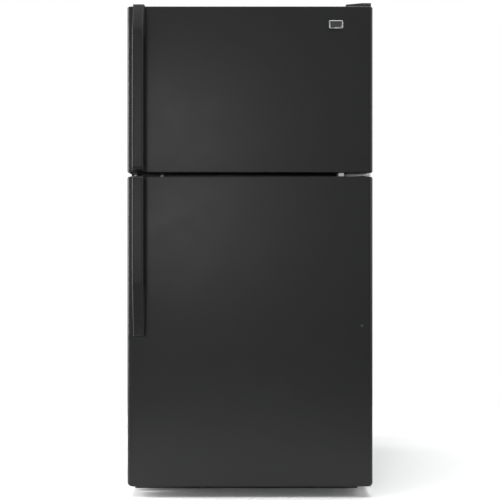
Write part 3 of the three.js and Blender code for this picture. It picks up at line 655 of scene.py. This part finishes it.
def screw(mesh, place, axis, radius=3.5, height=2):
    """A hex-washer-head screw of a size in millimetres, standing on a place along an axis."""
    turn = Vector((0, 0, 1)).rotation_difference(Vector(axis)).to_matrix().to_4x4()
    turned(mesh, [(0, 0.6), (radius * 1.35, 0.6), (radius * 1.45, 0), (0, 0)], place, turn, 20)
    bmesh.ops.create_cone(
        mesh, cap_ends=True, segments=6, radius1=radius * MM, radius2=radius * 0.93 * MM, depth=height * MM,
        matrix=Matrix.Translation(place) @ turn @ Matrix.Translation(mm(0, 0, 0.6 + height / 2)),
    )


panel_low, panel_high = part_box("back_panel")
softened_piece("back_sheet", "back_panel", galvanised_steel)
mesh = bmesh.new()
for x in mm(-250, 0, 250):
    soft_block(mesh, about(x, 5), (panel_high.y - 1 * MM, panel_high.y + 1.2 * MM),
               within(panel_low.z, panel_high.z, 120), 1.1 * MM, 3)
piece("back_beads", mesh, "cabinet", galvanised_steel)
mesh = bmesh.new()
for z in range(340, 1660, 120):
    for side in (-1, 1):
        screw(mesh, (side * 403 * MM, panel_high.y, z * MM), (0, 1, 0))
for x in range(-300, 301, 150):
    screw(mesh, (x * MM, panel_high.y, 1652 * MM), (0, 1, 0))
for x in range(-390, 391, 130):
    screw(mesh, (x * MM, panel_high.y, 292 * MM), (0, 1, 0))
piece("back_screws", mesh, "cabinet", zinc_steel)

cover_board = finish_material(
    "cover_board", (0.055, 0.055, 0.058), 0.6, spread=(0.15, 0.08), patches=30.0, grain=(500.0, 0.12)
)
softened_piece("rear_cover_sheet", "rear_service_cover", cover_board)
mesh = bmesh.new()
for column in range(7):
    for z in (80, 110, 140, 210, 240):
        x = -330 + column * 100
        outline = [(panel_high.y - 1 * MM, (z + 12) * MM), (panel_high.y + 5 * MM, (z + 2) * MM),
                   (panel_high.y + 5.6 * MM, (z + 0.6) * MM), (panel_high.y + 4.6 * MM, (z + 0.6) * MM),
                   (panel_high.y - 1 * MM, (z + 10.4) * MM)]
        add_part(mesh, side_cut(outline, ((x - 2) * MM, (x + 64) * MM)))
piece("rear_cover_louvres", mesh, "cabinet", cover_board)
mesh = softened("base_pan")
for face in mesh.faces:
    if face.calc_center_median().y < case_low.y + 2 * MM:
        face.material_index = 1
node_piece("base_pan_sheet", mesh, "base_pan", galvanised_steel, extra_materials=[case_steel])

# ------------------------------------------------------------------ hinges
# Zinc-plated steel plates with pressed-in pins, screwed to the cabinet. A black plastic cover
# hides the top one; between the doors the middle plate shows, with a white spacer beside it.
black_trim = finish_material(
    "black_trim", (0.011, 0.011, 0.0115), 0.42, spread=(0.12, 0.08), patches=26.0, grain=(1000.0, 0.06)
)
softened_piece("top_hinge_plate", "top_hinge", zinc_steel, 0.8 * MM)
# The middle plate's zinc is painted near white, much lighter than the other plates: painted light that
# stands in for the light the shade between the doors takes away.
painted_light_zinc = finish_material(
    "painted_light_zinc", (0.90, 0.90, 0.89), 0.48, spread=(0.06, 0.10), patches=80.0, grain=(900.0, 0.02),
    Metallic=0.12,
)
softened_piece("center_hinge_plate", "center_hinge", painted_light_zinc, 0.8 * MM)
softened_piece("bottom_hinge_plate", "bottom_hinge", zinc_steel, 0.8 * MM)
softened_piece("hinge_cap", "top_hinge_cover", black_trim, 1.2 * MM, 3, 20)
cap_low, cap_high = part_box("top_hinge_cover")
mesh = bmesh.new()
for x in (391, 404):
    turned(mesh, [(0, 3.0), (3.6, 2.4), (5, 0.8), (5, 0), (0, 0)],
           (x * MM, cap_low.y + 0.2 * MM, cap_high.z - 7.4 * MM), AROUND_Y, 20)
piece("hinge_cap_bosses", mesh, "cabinet", black_trim)
white_plastic = finish_material(
    "white_plastic", (0.78, 0.78, 0.765), 0.34, spread=(0.03, 0.07), patches=16.0, grain=(900.0, 0.03)
)
hinge_low, hinge_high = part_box("center_hinge")
block_piece(
    "door_spacer", mm(301, 319), (hinge_low.y - 12 * MM, hinge_high.y - 3.2 * MM), mm(1089.2, 1100.8),
    1.2 * MM, 2, "cabinet", white_plastic
)
mesh = bmesh.new()
for foot in (1088.5, 1097.1):
    turned(mesh, [(0, 4.5), (8.4, 4.5), (9, 3.9), (9, 0.6), (8.4, 0), (0, 0)],
           mm(403, -320, foot), None, 24)
piece("hinge_washers", mesh, "cabinet", white_plastic)
mesh = bmesh.new()
for x in (338, 352, 372, 392):
    z = 1107 if x in (352, 392) else 1084
    screw(mesh, (x * MM, hinge_high.y - 3.1 * MM, z * MM), (0, -1, 0), 3.2)
piece("hinge_screws", mesh, "cabinet", zinc_steel)
mesh = bmesh.new()
for x, z in ((-306, 1095), (-398, 1095)):
    turned(mesh, [(0, 5.6), (4, 5.3), (6.2, 4), (6.5, 2.5), (6.5, 0), (0, 0)],
           (x * MM, case_low.y - 0.4 * MM, z * MM), AROUND_Y, 24)
node_piece("hole_plugs", mesh, "mullion_plug", white_plastic)
softened_piece("mullion_sheet", "mullion_rail", case_steel, 0.6 * MM)

# ------------------------------------------------------------------ cabinet liners
# Each compartment is one thermoformed white plastic box with rounded inside corners, its rim
# lying on the cabinet flange. Ribs on the side walls carry the drawer cover and the freezer shelf.
white_liner = finish_material(
    "white_liner", (0.74, 0.74, 0.725), 0.38, spread=(0.025, 0.06), patches=5.0, grain=(420.0, 0.06)
)
LINER_CORNER = 22 * MM


def liner_skin(half, z, back, lip, step=None):
    """A liner from the rim lying on the flange to the back wall, with rounded inside corners."""
    rim_y = case_low.y - 0.2 * MM
    floor_z = z[0]

    def level(inset, y, corner):
        return ((inset - half, half - inset), (floor_z + inset, z[1] - inset), corner, y)

    rings = [((-lip[0], lip[0]), lip[1], 3 * MM, rim_y), level(-3 * MM, rim_y, 6 * MM)]
    rings += [level(0, rim_y + 3.2 * MM, 12 * MM), level(0, rim_y + 20.2 * MM, LINER_CORNER)]
    if step:
        rings.append(level(0, step[0], LINER_CORNER))
        floor_z = step[1]
        rings.append(level(0, step[0] + 8 * MM, LINER_CORNER))
    for inset, along in quarter(LINER_CORNER):
        rings.append(level(inset, back - LINER_CORNER + along, max(LINER_CORNER - inset, 4 * MM)))
    return lofted(rings)


fresh = liner_skin(368.5 * MM, mm(92, 1052), 355 * MM, (377.2 * MM, mm(88.6, 1055.8)),
                   step=mm(198, 330))
for side in (-1, 1):
    wall = side * 368.8 * MM
    soft_block(fresh, sorted((wall, wall - side * 5 * MM)), mm(-160, 300),
               mm(314, 329), 2.2 * MM, 3)
node_piece("fresh_food_liner", fresh, "refrigerator_liner", white_liner, 40)
cold = liner_skin(358.5 * MM, mm(1138, 1602), 355 * MM, (377.2 * MM, mm(1134.6, 1629.4)))
for side in (-1, 1):
    for y in (-128, 150):
        wall = side * 358.8 * MM
        soft_block(cold, sorted((wall, wall - side * 6 * MM)), (y * MM, (y + 60) * MM),
                   mm(1357, 1367.4), 2.4 * MM, 3)
node_piece("freezer_box_liner", cold, "freezer_liner", white_liner, 40)
block_piece(
    "switch_housing", mm(316, 346), mm(-196, -150), mm(1015, 1052),
    3 * MM, 3, "cabinet", white_liner
)
softened_piece("door_switch_plunger", "door_switch", white_plastic, 1.5 * MM, 3)

# ------------------------------------------------------------------ door liners and gaskets
# The inside of each door is a moulded white sheet with a deep hollow ridge that carries the
# bins, and round it the magnetic seal: a soft black strip with folds that meets the flange.


def door_inside(node, half, z, back, crest, width=22 * MM, soft=9 * MM):
    """A door's inside sheet: its flat rim, up over the ridge and down to the recess within it."""
    low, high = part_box(node)

    def band(inset, y):
        corner = max(26 * MM - inset, 3 * MM)
        return ((inset - half, half - inset), (z[0] + inset, z[1] - inset), corner, y)

    foot = ((soft, 0), (soft * 0.42, soft * 0.13), (soft * 0.13, soft * 0.42), (0, soft))
    rings = [((low.x, high.x), (low.z, high.z), 8 * MM, back)]
    rings += [band(-out, back + up) for out, up in foot]
    rings += [band(2 * MM + d * 0.75, crest - soft + a) for d, a in quarter(soft)]
    rings += [band(width - (soft - d) * 0.75, crest - a) for d, a in ((0, 0), (soft, soft))]
    rings += [band(width + 2 * MM + out, back + up) for out, up in reversed(foot)]
    return lofted(rings, steps=6)


door_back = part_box("freezer_door_panel")[1].y
ridge_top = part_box("freezer_door_liner")[1].y
for node, half, z in (("freezer_door", 330, (1152, 1588)), ("refrigerator_door", 342, (108, 1036))):
    inside = door_inside(f"{node}_liner", half * MM, mm(*z), door_back, ridge_top)
    name = node.replace("refrigerator", "fresh") + "_inside"
    node_piece(name, inside, f"{node}_liner", white_liner, 45)
gasket_rubber = finish_material(
    "gasket_rubber", (0.022, 0.022, 0.023), 0.55, spread=(0.15, 0.08), patches=40.0, grain=(1400.0, 0.04)
)
for node, body in (("freezer_door_gasket", "freezer"), ("refrigerator_door_gasket", "fresh")):
    low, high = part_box(node)
    section = (
        (1, -280.6), (0, -279.4), (0, -278), (3.2, -277), (3.6, -275.6), (0.6, -274.4), (0, -273),
        (0.2, -270.4), (1.6, -268.9), (15, -268.9), (16.4, -270.2), (16.4, -273), (13.6, -274.4),
        (13.6, -275.8), (18.4, -277.2), (20, -279), (19.4, -280.6),
    )
    rings = [
        ((low.x + d * MM, high.x - d * MM), (low.z + d * MM, high.z - d * MM), (23 - d) * MM, y * MM)
        for d, y in section
    ]
    node_piece(f"{body}_door_seal", lofted(rings, end=False, closed=True), node, gasket_rubber, 50)

# ------------------------------------------------------------------ door bins and dairy box
# Moulded trays with a rolled rim, hooked over knobs inside the door's ridge: clear on the lower
# door, white on the freezer door. The dairy box is white with a clear lid that lifts.
clear_plastic = finish_material(
    "clear_plastic", (0.96, 0.98, 0.985), 0.10, spread=(0.03, 0.05), patches=14.0, grain=(120.0, 0.006),
    Transmission_Weight=0.9, IOR=1.35,
)


def tray(low, high, radius, foot=7 * MM, draft=2.5 * MM, lip=2 * MM):
    """An open-topped tray: rounded bottom edge, leaning walls and a rim turned outwards."""

    def level(inset, up):
        across, along = (low.x + inset, high.x - inset), (low.y + inset, high.y - inset)
        return (across, along, max(radius - inset, 2 * MM), up)

    rings = [level(lip + draft + foot - d, low.z + a) for a, d in quarter(foot)]
    rings += [level(lip + draft * 0.4, (low.z + high.z) / 2), level(lip, high.z - 5 * MM)]
    rings += [level(lip - d, high.z - 5 * MM + a) for d, a in quarter(lip, 3)]
    rings += [level(0, high.z - 0.4 * MM), level(0.4 * MM, high.z), level(2.4 * MM, high.z)]
    return lofted(rings, end=False, start=True, upright=True)


for node in ("upper_door_bin", "middle_door_bin", "lower_door_bin", "bottom_door_bin",
             "freezer_upper_bin", "freezer_lower_bin"):
    low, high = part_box(node)
    frozen = node.startswith("freezer")
    mesh = tray(low, high, 12 * MM)
    bin_piece = node_piece(f"{node}_tray", mesh, node, white_plastic if frozen else clear_plastic, 50)
    solidify(bin_piece, 2.2 * MM, 1)
    if frozen:
        mesh = bmesh.new()
        for up in (0.3, 0.5, 0.7):
            z = low.z + (high.z - low.z) * up
            soft_block(mesh, within(low.x, high.x, 30), (high.y - 4 * MM, high.y - 0.6 * MM),
                       about(z, 1.5), 1 * MM)
        piece(f"{node}_ribs", mesh, "freezer_door", white_plastic)
    else:
        block_piece(
            f"{node}_trim", within(low.x, high.x, 2), (high.y - 3.4 * MM, high.y + 0.6 * MM),
            (high.z - 13 * MM, high.z - 1 * MM),
            1.4 * MM, 3, "refrigerator_door", white_plastic
        )
mesh = bmesh.new()
for node in ("upper_door_bin", "middle_door_bin", "lower_door_bin", "bottom_door_bin"):
    low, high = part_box(node)
    for side in (-1, 1):
        wall = side * 320 * MM
        middle = (low.z + high.z) / 2
        soft_block(mesh, sorted((wall + side * 2 * MM, wall - side * 2.6 * MM)), mm(-258, -232),
                   (middle - 14 * MM, middle + 20 * MM), 2 * MM, 3)
piece("fresh_door_bin_knobs", mesh, "refrigerator_door", white_liner)
softened_piece("dairy_box_shell", "dairy_box", white_plastic, 2.2 * MM, 3)
softened_piece("dairy_lid_panel", "dairy_lid", clear_plastic, 1.4 * MM, 3)
lid_low, lid_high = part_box("dairy_lid")
block_piece(
    "dairy_lid_pull", within(lid_low.x, lid_high.x, 95),
    (lid_high.y - 1 * MM, lid_high.y + 5 * MM), (lid_low.z + 4 * MM, lid_low.z + 11 * MM),
    2.4 * MM, 3, "dairy_lid", white_plastic
)

# ------------------------------------------------------------------ fresh food shelves and drawers
# Glass panes set in white moulded rims on steel arms, hooked into two slotted channels on the
# back wall. Two clear drawers stand on the floor under a third pane that lies on the side ribs.
shelf_glass = finish_material(
    "shelf_glass", (0.86, 0.95, 0.92), 0.03, spread=(0.02, 0.02), patches=8.0, grain=(60.0, 0.01),
    Transmission_Weight=0.94, IOR=1.3,
)
for side in ("left", "right"):
    node = f"shelf_track_{side}"
    softened_piece(f"shelf_channel_{side}", node, zinc_steel, 0.4 * MM, 1)
for node in ("upper_shelf", "lower_shelf", "crisper_cover"):
    softened_piece(f"{node}_rim", f"{node}_frame", white_plastic, 2.4 * MM, 3, 40)
    softened_piece(f"{node}_pane", f"{node}_glass", shelf_glass, 0.6 * MM)
    low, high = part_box(f"{node}_frame")
    deep = 22 * MM
    block_piece(
        f"{node}_front_trim", within(low.x, high.x, 1), (low.y - 2.4 * MM, low.y + 3 * MM),
        (high.z - deep, high.z + 0.4 * MM),
        2.2 * MM, 4, "cabinet", white_plastic
    )
for side in ("left", "right"):
    node = f"crisper_{side}"
    low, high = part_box(node)
    wall = low.y + 18 * MM
    mesh = tray(Vector((low.x, wall, low.z)), high, 14 * MM, foot=12 * MM, draft=4 * MM, lip=3 * MM)
    solidify(node_piece(f"{node}_tub", mesh, node, clear_plastic, 50), 2.4 * MM, 1)
    grip = filleted([
        (wall + 6 * MM, high.z, 0), (low.y + 4 * MM, high.z, 3 * MM), (low.y, high.z - 26 * MM, 1.2 * MM),
        (low.y + 2.6 * MM, high.z - 26 * MM, 1 * MM), (low.y + 6.8 * MM, high.z - 3 * MM, 2 * MM),
        (wall + 6 * MM, high.z - 3 * MM, 0),
    ], 4)
    mesh = side_cut(grip, within(low.x, high.x, 8))
    piece(f"{node}_pull", mesh, node, white_plastic, 45)

# ------------------------------------------------------------------ controls
# A white housing under the fresh food ceiling holds two dials and, behind a clear cover, the
# lamp. Each dial has a raised grip with a dark pointer line, and marks around it.
mark_ink = finish_material(
    "mark_ink", (0.05, 0.06, 0.08), 0.5, spread=(0.1, 0.05), patches=60.0, grain=(900.0, 0.01)
)
house_low, house_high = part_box("control_housing")
softened_piece("control_cover", "control_housing", white_plastic, 2.2 * MM, 3)
for node in ("temperature_knob", "airflow_knob"):
    low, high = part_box(node)
    centre = (low + high) / 2
    mesh = bmesh.new()
    turned(mesh, [(0, 6.4), (15.4, 6.4), (17, 5.8), (17.8, 4.2),
                  (18, 0), (0, 0)], (centre.x, high.y, centre.z), AROUND_Y, 48)
    soft_block(mesh, about(centre.x, 4), (low.y, high.y - 5 * MM),
               about(centre.z, 15), 2 * MM, 4)
    node_piece(f"{node}_dial", mesh, node, white_plastic)
    block_piece(
        f"{node}_pointer", about(centre.x, 0.8),
        (low.y - 0.3 * MM, low.y + 1 * MM), (centre.z + 3 * MM, centre.z + 13.6 * MM),
        0.3 * MM, 2, node, mark_ink
    )
    mesh = bmesh.new()
    for mark in range(7):
        turn = math.radians(-135 + mark * 45)
        long = 3.2 * MM if mark % 3 == 0 else 1.8 * MM
        place = Matrix.Translation((centre.x, house_low.y - 0.1 * MM, centre.z))
        verts = block(mesh, mm(-0.5, 0.5), mm(-0.1, 0.3), (19.4 * MM, 19.4 * MM + long))
        bmesh.ops.transform(mesh, matrix=place @ Matrix.Rotation(turn, 4, "Y"), verts=verts)
    piece(f"{node}_marks", mesh, "cabinet", mark_ink)
lamp_cover = finish_material(
    "lamp_cover", (0.95, 0.94, 0.90), 0.3, spread=(0.02, 0.04), patches=20.0, grain=(240.0, 0.3)
)
block_piece(
    "lamp_window", mm(-58, 58), about(house_low.y, 3), mm(1014, 1044),
    2.4 * MM, 3, "cabinet", lamp_cover
)

# ------------------------------------------------------------------ freezer interior
# A white coated wire shelf, and the white plastic wall that hides the evaporator. Cold air comes
# out through a round grille over the fan and returns through slots along the bottom.
white_wire = finish_material(
    "white_wire", (0.80, 0.80, 0.79), 0.32, spread=(0.03, 0.06), patches=30.0, grain=(1200.0, 0.02)
)


def bar(mesh, a, b, radius, sides=10):
    """A round bar between two points."""
    a, b = Vector(a), Vector(b)
    turn = Vector((0, 0, 1)).rotation_difference(b - a).to_matrix().to_4x4()
    bmesh.ops.create_cone(
        mesh, cap_ends=True, segments=sides, radius1=radius, radius2=radius, depth=(b - a).length,
        matrix=Matrix.Translation((a + b) / 2) @ turn,
    )


def pipe(mesh, points, radius, bend=0.0, sides=3, cyclic=False):
    """A round pipe through points, its corners bent to a radius."""
    corners = [Vector(p) for p in points]
    path = []
    for i, here in enumerate(corners):
        if bend == 0 or (not cyclic and i in (0, len(corners) - 1)):
            path.append(here)
            continue
        back = (corners[i - 1] - here)
        on = (corners[(i + 1) % len(corners)] - here)
        reach = min(bend, back.length * 0.49, on.length * 0.49)
        start, stop = here + back.normalized() * reach, here + on.normalized() * reach
        for step in range(7):
            t = step / 6
            path.append(start * (1 - t) ** 2 + here * 2 * t * (1 - t) + stop * t * t)
    line = bpy.data.curves.new("line", "CURVE")
    line.dimensions = "3D"
    line.bevel_depth = radius
    line.bevel_resolution = sides
    line.use_fill_caps = True
    spline = line.splines.new("POLY")
    spline.points.add(len(path) - 1)
    spline.use_cyclic_u = cyclic
    for point, place in zip(spline.points, path):
        point.co = (*place, 1)
    holder = bpy.data.objects.new("line", line)
    made = bpy.data.meshes.new_from_object(holder)
    mesh.from_mesh(made)
    bpy.data.meshes.remove(made)
    bpy.data.objects.remove(holder)
    bpy.data.curves.remove(line)


low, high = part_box("freezer_shelf")
top = high.z - 2 * MM
rim = 3.2 * MM
mesh = bmesh.new()
pipe(mesh, [(low.x + rim, low.y + rim, top - 1 * MM), (high.x - rim, low.y + rim, top - 1 * MM),
            (high.x - rim, high.y - rim, top - 1 * MM), (low.x + rim, high.y - rim, top - 1 * MM)],
     rim, 14 * MM, 3, True)
for i in range(1, 30):
    x = low.x + (high.x - low.x) * i / 30
    bar(mesh, (x, low.y + rim, top + 0.4 * MM), (x, high.y - rim, top + 0.4 * MM), 1.8 * MM, 8)
for y in (low.y + 95 * MM, high.y - 110 * MM):
    bar(mesh, (low.x + rim, y, top - 3 * MM), (high.x - rim, y, top - 3 * MM), 2.4 * MM, 8)
node_piece("freezer_wire_shelf", mesh, "freezer_shelf", white_wire)

FAN_HEIGHT = 1495 * MM
wall_low, wall_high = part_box("evaporator_cover")
softened_piece("evaporator_wall", "evaporator_cover", white_liner, 0.6 * MM)
mesh = bmesh.new()
fan_centre = Vector((0, wall_low.y, FAN_HEIGHT))
for radius in mm(14, 24, 34, 44, 54):
    turns = [math.tau * i / 32 for i in range(32)]
    ring = [
        (radius * math.cos(turn), wall_low.y - 1.6 * MM, FAN_HEIGHT + radius * math.sin(turn))
        for turn in turns
    ]
    pipe(mesh, ring, 1.3 * MM, 0, 2, True)
hub = fan_centre - Vector((0, 1.2 * MM, 0))
for i in range(6):
    turn = math.tau * i / 6
    arm = Vector((math.cos(turn), 0, math.sin(turn)))
    bar(mesh, hub + arm * 10 * MM, hub + arm * 59 * MM, 1.5 * MM, 8)
turned(mesh, [(0, 3), (9, 2.6), (11.5, 0), (0, 0)], fan_centre, AROUND_Y, 24)
turned(mesh, [(56, 0), (56.4, 2.4), (58, 3.6), (61, 3.4), (64, 0)], fan_centre, AROUND_Y, 48)
piece("fan_grille", mesh, "cabinet", white_plastic, 40)
evaporator_aluminium = finish_material(
    "evaporator_aluminium", (0.62, 0.63, 0.64), 0.4, spread=(0.12, 0.1), patches=40.0, grain=(600.0, 0.05),
    Metallic=0.9,
)
softened_piece("evaporator_fins", "evaporator_coil", evaporator_aluminium)
softened_piece("evaporator_motor", "evaporator_fan_motor", black_plastic, 1 * MM)


def rotor(node, centre, turn, hub, tip, depth, count=5):
    """A moulded fan, sizes in millimetres: a domed hub and swept, twisted blades round its axis."""
    mesh = bmesh.new()
    half = depth / 2
    turned(mesh, [(0, half), (hub * 0.6, half * 0.94), (hub * 0.94, half * 0.6), (hub, half * 0.2),
                  (hub, -half), (0, -half)], centre, turn, 28)
    root = hub * 0.94
    for i in range(count):
        blade = bmesh.new()
        bmesh.ops.create_grid(blade, x_segments=7, y_segments=5, size=0.5)
        for vert in blade.verts:
            along, around = vert.co.x + 0.5, vert.co.y
            reach = root + (tip - root) * along
            angle = math.tau * i / count + around * (0.8 + 0.25 * along) + along * 0.22
            rise = -around * depth * 0.8
            vert.co = mm(reach * math.cos(angle), reach * math.sin(angle), rise)
        bmesh.ops.solidify(blade, geom=blade.faces, thickness=1.2 * MM)
        bmesh.ops.recalc_face_normals(blade, faces=blade.faces)
        bmesh.ops.transform(blade, matrix=Matrix.Translation(centre) @ turn, verts=blade.verts)
        add_part(mesh, blade)
    node_piece(f"{node}_rotor", mesh, node, black_plastic)


rotor("evaporator_fan", (0, 313 * MM, FAN_HEIGHT), AROUND_Y, hub=16, tip=51.5, depth=19)

# ------------------------------------------------------------------ machine compartment
# At the bottom of the back: the compressor on rubber feet, a fan in a steel frame, and the
# black tube condenser over the plastic tray that catches the melt water.
compressor_steel = finish_material(
    "compressor_steel", (0.016, 0.016, 0.017), 0.33, spread=(0.15, 0.1), patches=14.0, grain=(240.0, 0.12)
)
tube_steel = finish_material(
    "tube_steel", (0.02, 0.02, 0.021), 0.4, spread=(0.15, 0.1), patches=20.0, grain=(500.0, 0.05)
)
copper = finish_material(
    "copper_tube", (0.62, 0.30, 0.19), 0.34, spread=(0.14, 0.12), patches=26.0, grain=(700.0, 0.03),
    Metallic=0.95,
)
low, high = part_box("compressor")
centre = (low + high) / 2
mesh = bmesh.new()
turned(mesh, [(0, 13), (40, 13.5), (62, 21), (73, 34), (76, 52),
              (76, 92), (78.5, 93), (78.5, 97), (76, 98),
              (76, 132), (72, 153), (60, 169), (38, 178),
              (0, 180.8)], (centre.x, centre.y, low.z), None, 48)
soft_block(mesh, (low.x, high.x), within(low.y, high.y, 20),
           (low.z + 5 * MM, low.z + 9 * MM), 1.4 * MM)
for dx in (-58, 58):
    across = centre.x + dx * MM
    soft_block(mesh, about(across, 9), about(centre.y, 20),
               (low.z + 8 * MM, low.z + 44 * MM), 2 * MM)
soft_block(mesh, (high.x - 22 * MM, high.x - 2 * MM), about(centre.y, 30),
           (low.z + 70 * MM, low.z + 126 * MM), 4 * MM, 3)
node_piece("compressor_can", mesh, "compressor", compressor_steel)
mesh = bmesh.new()
for dx in (-80, 80):
    for dy in (-28, 28):
        turned(mesh, [(0, 14), (6, 14), (7, 11), (6, 8), (10, 6),
                      (11, 2), (10, 0), (0, 0)],
               (centre.x + dx * MM, centre.y + dy * MM, low.z), None, 20)
piece("compressor_feet", mesh, "cabinet", gasket_rubber)
mesh = bmesh.new()
pipe(mesh, [(centre.x + 30 * MM, centre.y, high.z - 12 * MM),
            (centre.x + 30 * MM, centre.y, high.z + 26 * MM),
            (centre.x + 250 * MM, centre.y + 20 * MM, high.z + 26 * MM),
            (centre.x + 330 * MM, centre.y - 5 * MM, high.z + 14 * MM)], 3 * MM, 30 * MM)
pipe(mesh, [(centre.x - 40 * MM, centre.y + 20 * MM, high.z - 20 * MM),
            (centre.x - 40 * MM, centre.y + 20 * MM, high.z + 40 * MM),
            (centre.x - 120 * MM, centre.y - 40 * MM, high.z + 55 * MM)], 4 * MM, 26 * MM)
piece("copper_lines", mesh, "cabinet", copper)

low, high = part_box("condenser_coil")
mesh = bmesh.new()
for y in (low.y + 4 * MM, (low.y + high.y) / 2, high.y - 4 * MM):
    run = []
    for i in range(6):
        z = low.z + 4 * MM + i * 29 * MM
        ends = within(low.x, high.x, 6)
        run += [(ends[i % 2], y, z), (ends[1 - i % 2], y, z)]
    pipe(mesh, run, 3.2 * MM, 14 * MM, 2)
for x in range(12):
    across = low.x + 22 * MM + x * 19 * MM
    for y in within(low.y, high.y, 0.8):
        bar(mesh, (across, y, low.z + 2 * MM), (across, y, high.z - 6 * MM), 1 * MM, 6)
node_piece("condenser_tubes", mesh, "condenser_coil", tube_steel)
softened_piece("fan_frame", "condenser_fan_frame", galvanised_steel, 0.6 * MM)
rotor("condenser_fan", mm(20, 330, 150), AROUND_X, hub=18, tip=61, depth=21)
softened_piece("melt_water_tray", "drain_pan", black_plastic, 2 * MM, 3)

# ------------------------------------------------------------------ toe grille and running gear
# A black plastic grille behind the lower door's bottom edge, two screw-down legs behind it with
# rubber-soled feet, and two fixed nylon rollers at the back.
softened_piece("toe_grille_panel", "toe_grille", black_plastic, 0.8 * MM)
roller_plastic = finish_material(
    "roller_plastic", (0.05, 0.05, 0.052), 0.45, spread=(0.15, 0.1), patches=60.0, grain=(800.0, 0.04)
)
for side in ("left", "right"):
    node = f"leveling_leg_{side}"
    low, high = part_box(node)
    centre = (low + high) / 2
    mesh = bmesh.new()
    stud, top = 4.6, high.z / MM
    profile = [(0, 0), (14.6, 0), (16, 1.4), (16, 4), (13, 6.6), (7, 7.6), (stud, 8.4)]
    thread = 10
    while thread < top - 2.4:
        profile += [(stud, thread), (stud + 0.4, thread + 0.7), (stud, thread + 1.4)]
        thread += 1.9
    profile += [(stud - 1, top), (0, top)]
    turned(mesh, profile, (centre.x, centre.y, 0), None, 24)
    node_piece(f"leg_{side}", mesh, node, zinc_steel)
    node = f"rear_roller_{side}"
    low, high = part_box(node)
    centre = (low + high) / 2
    mesh = bmesh.new()
    half = (high.x - low.x) / 2 / MM
    bore, groove = 4.4, half - 2.4
    across = [(bore, half), (9, half), (9.6, groove), (15, groove), (15.6, half), (18.6, half),
              (20, half - 1.4)]
    section = [(r, -x) for r, x in across] + list(reversed(across)) + [(bore, -half)]
    turned(mesh, section, centre, AROUND_X, 40)
    node_piece(f"roller_{side}", mesh, node, roller_plastic)
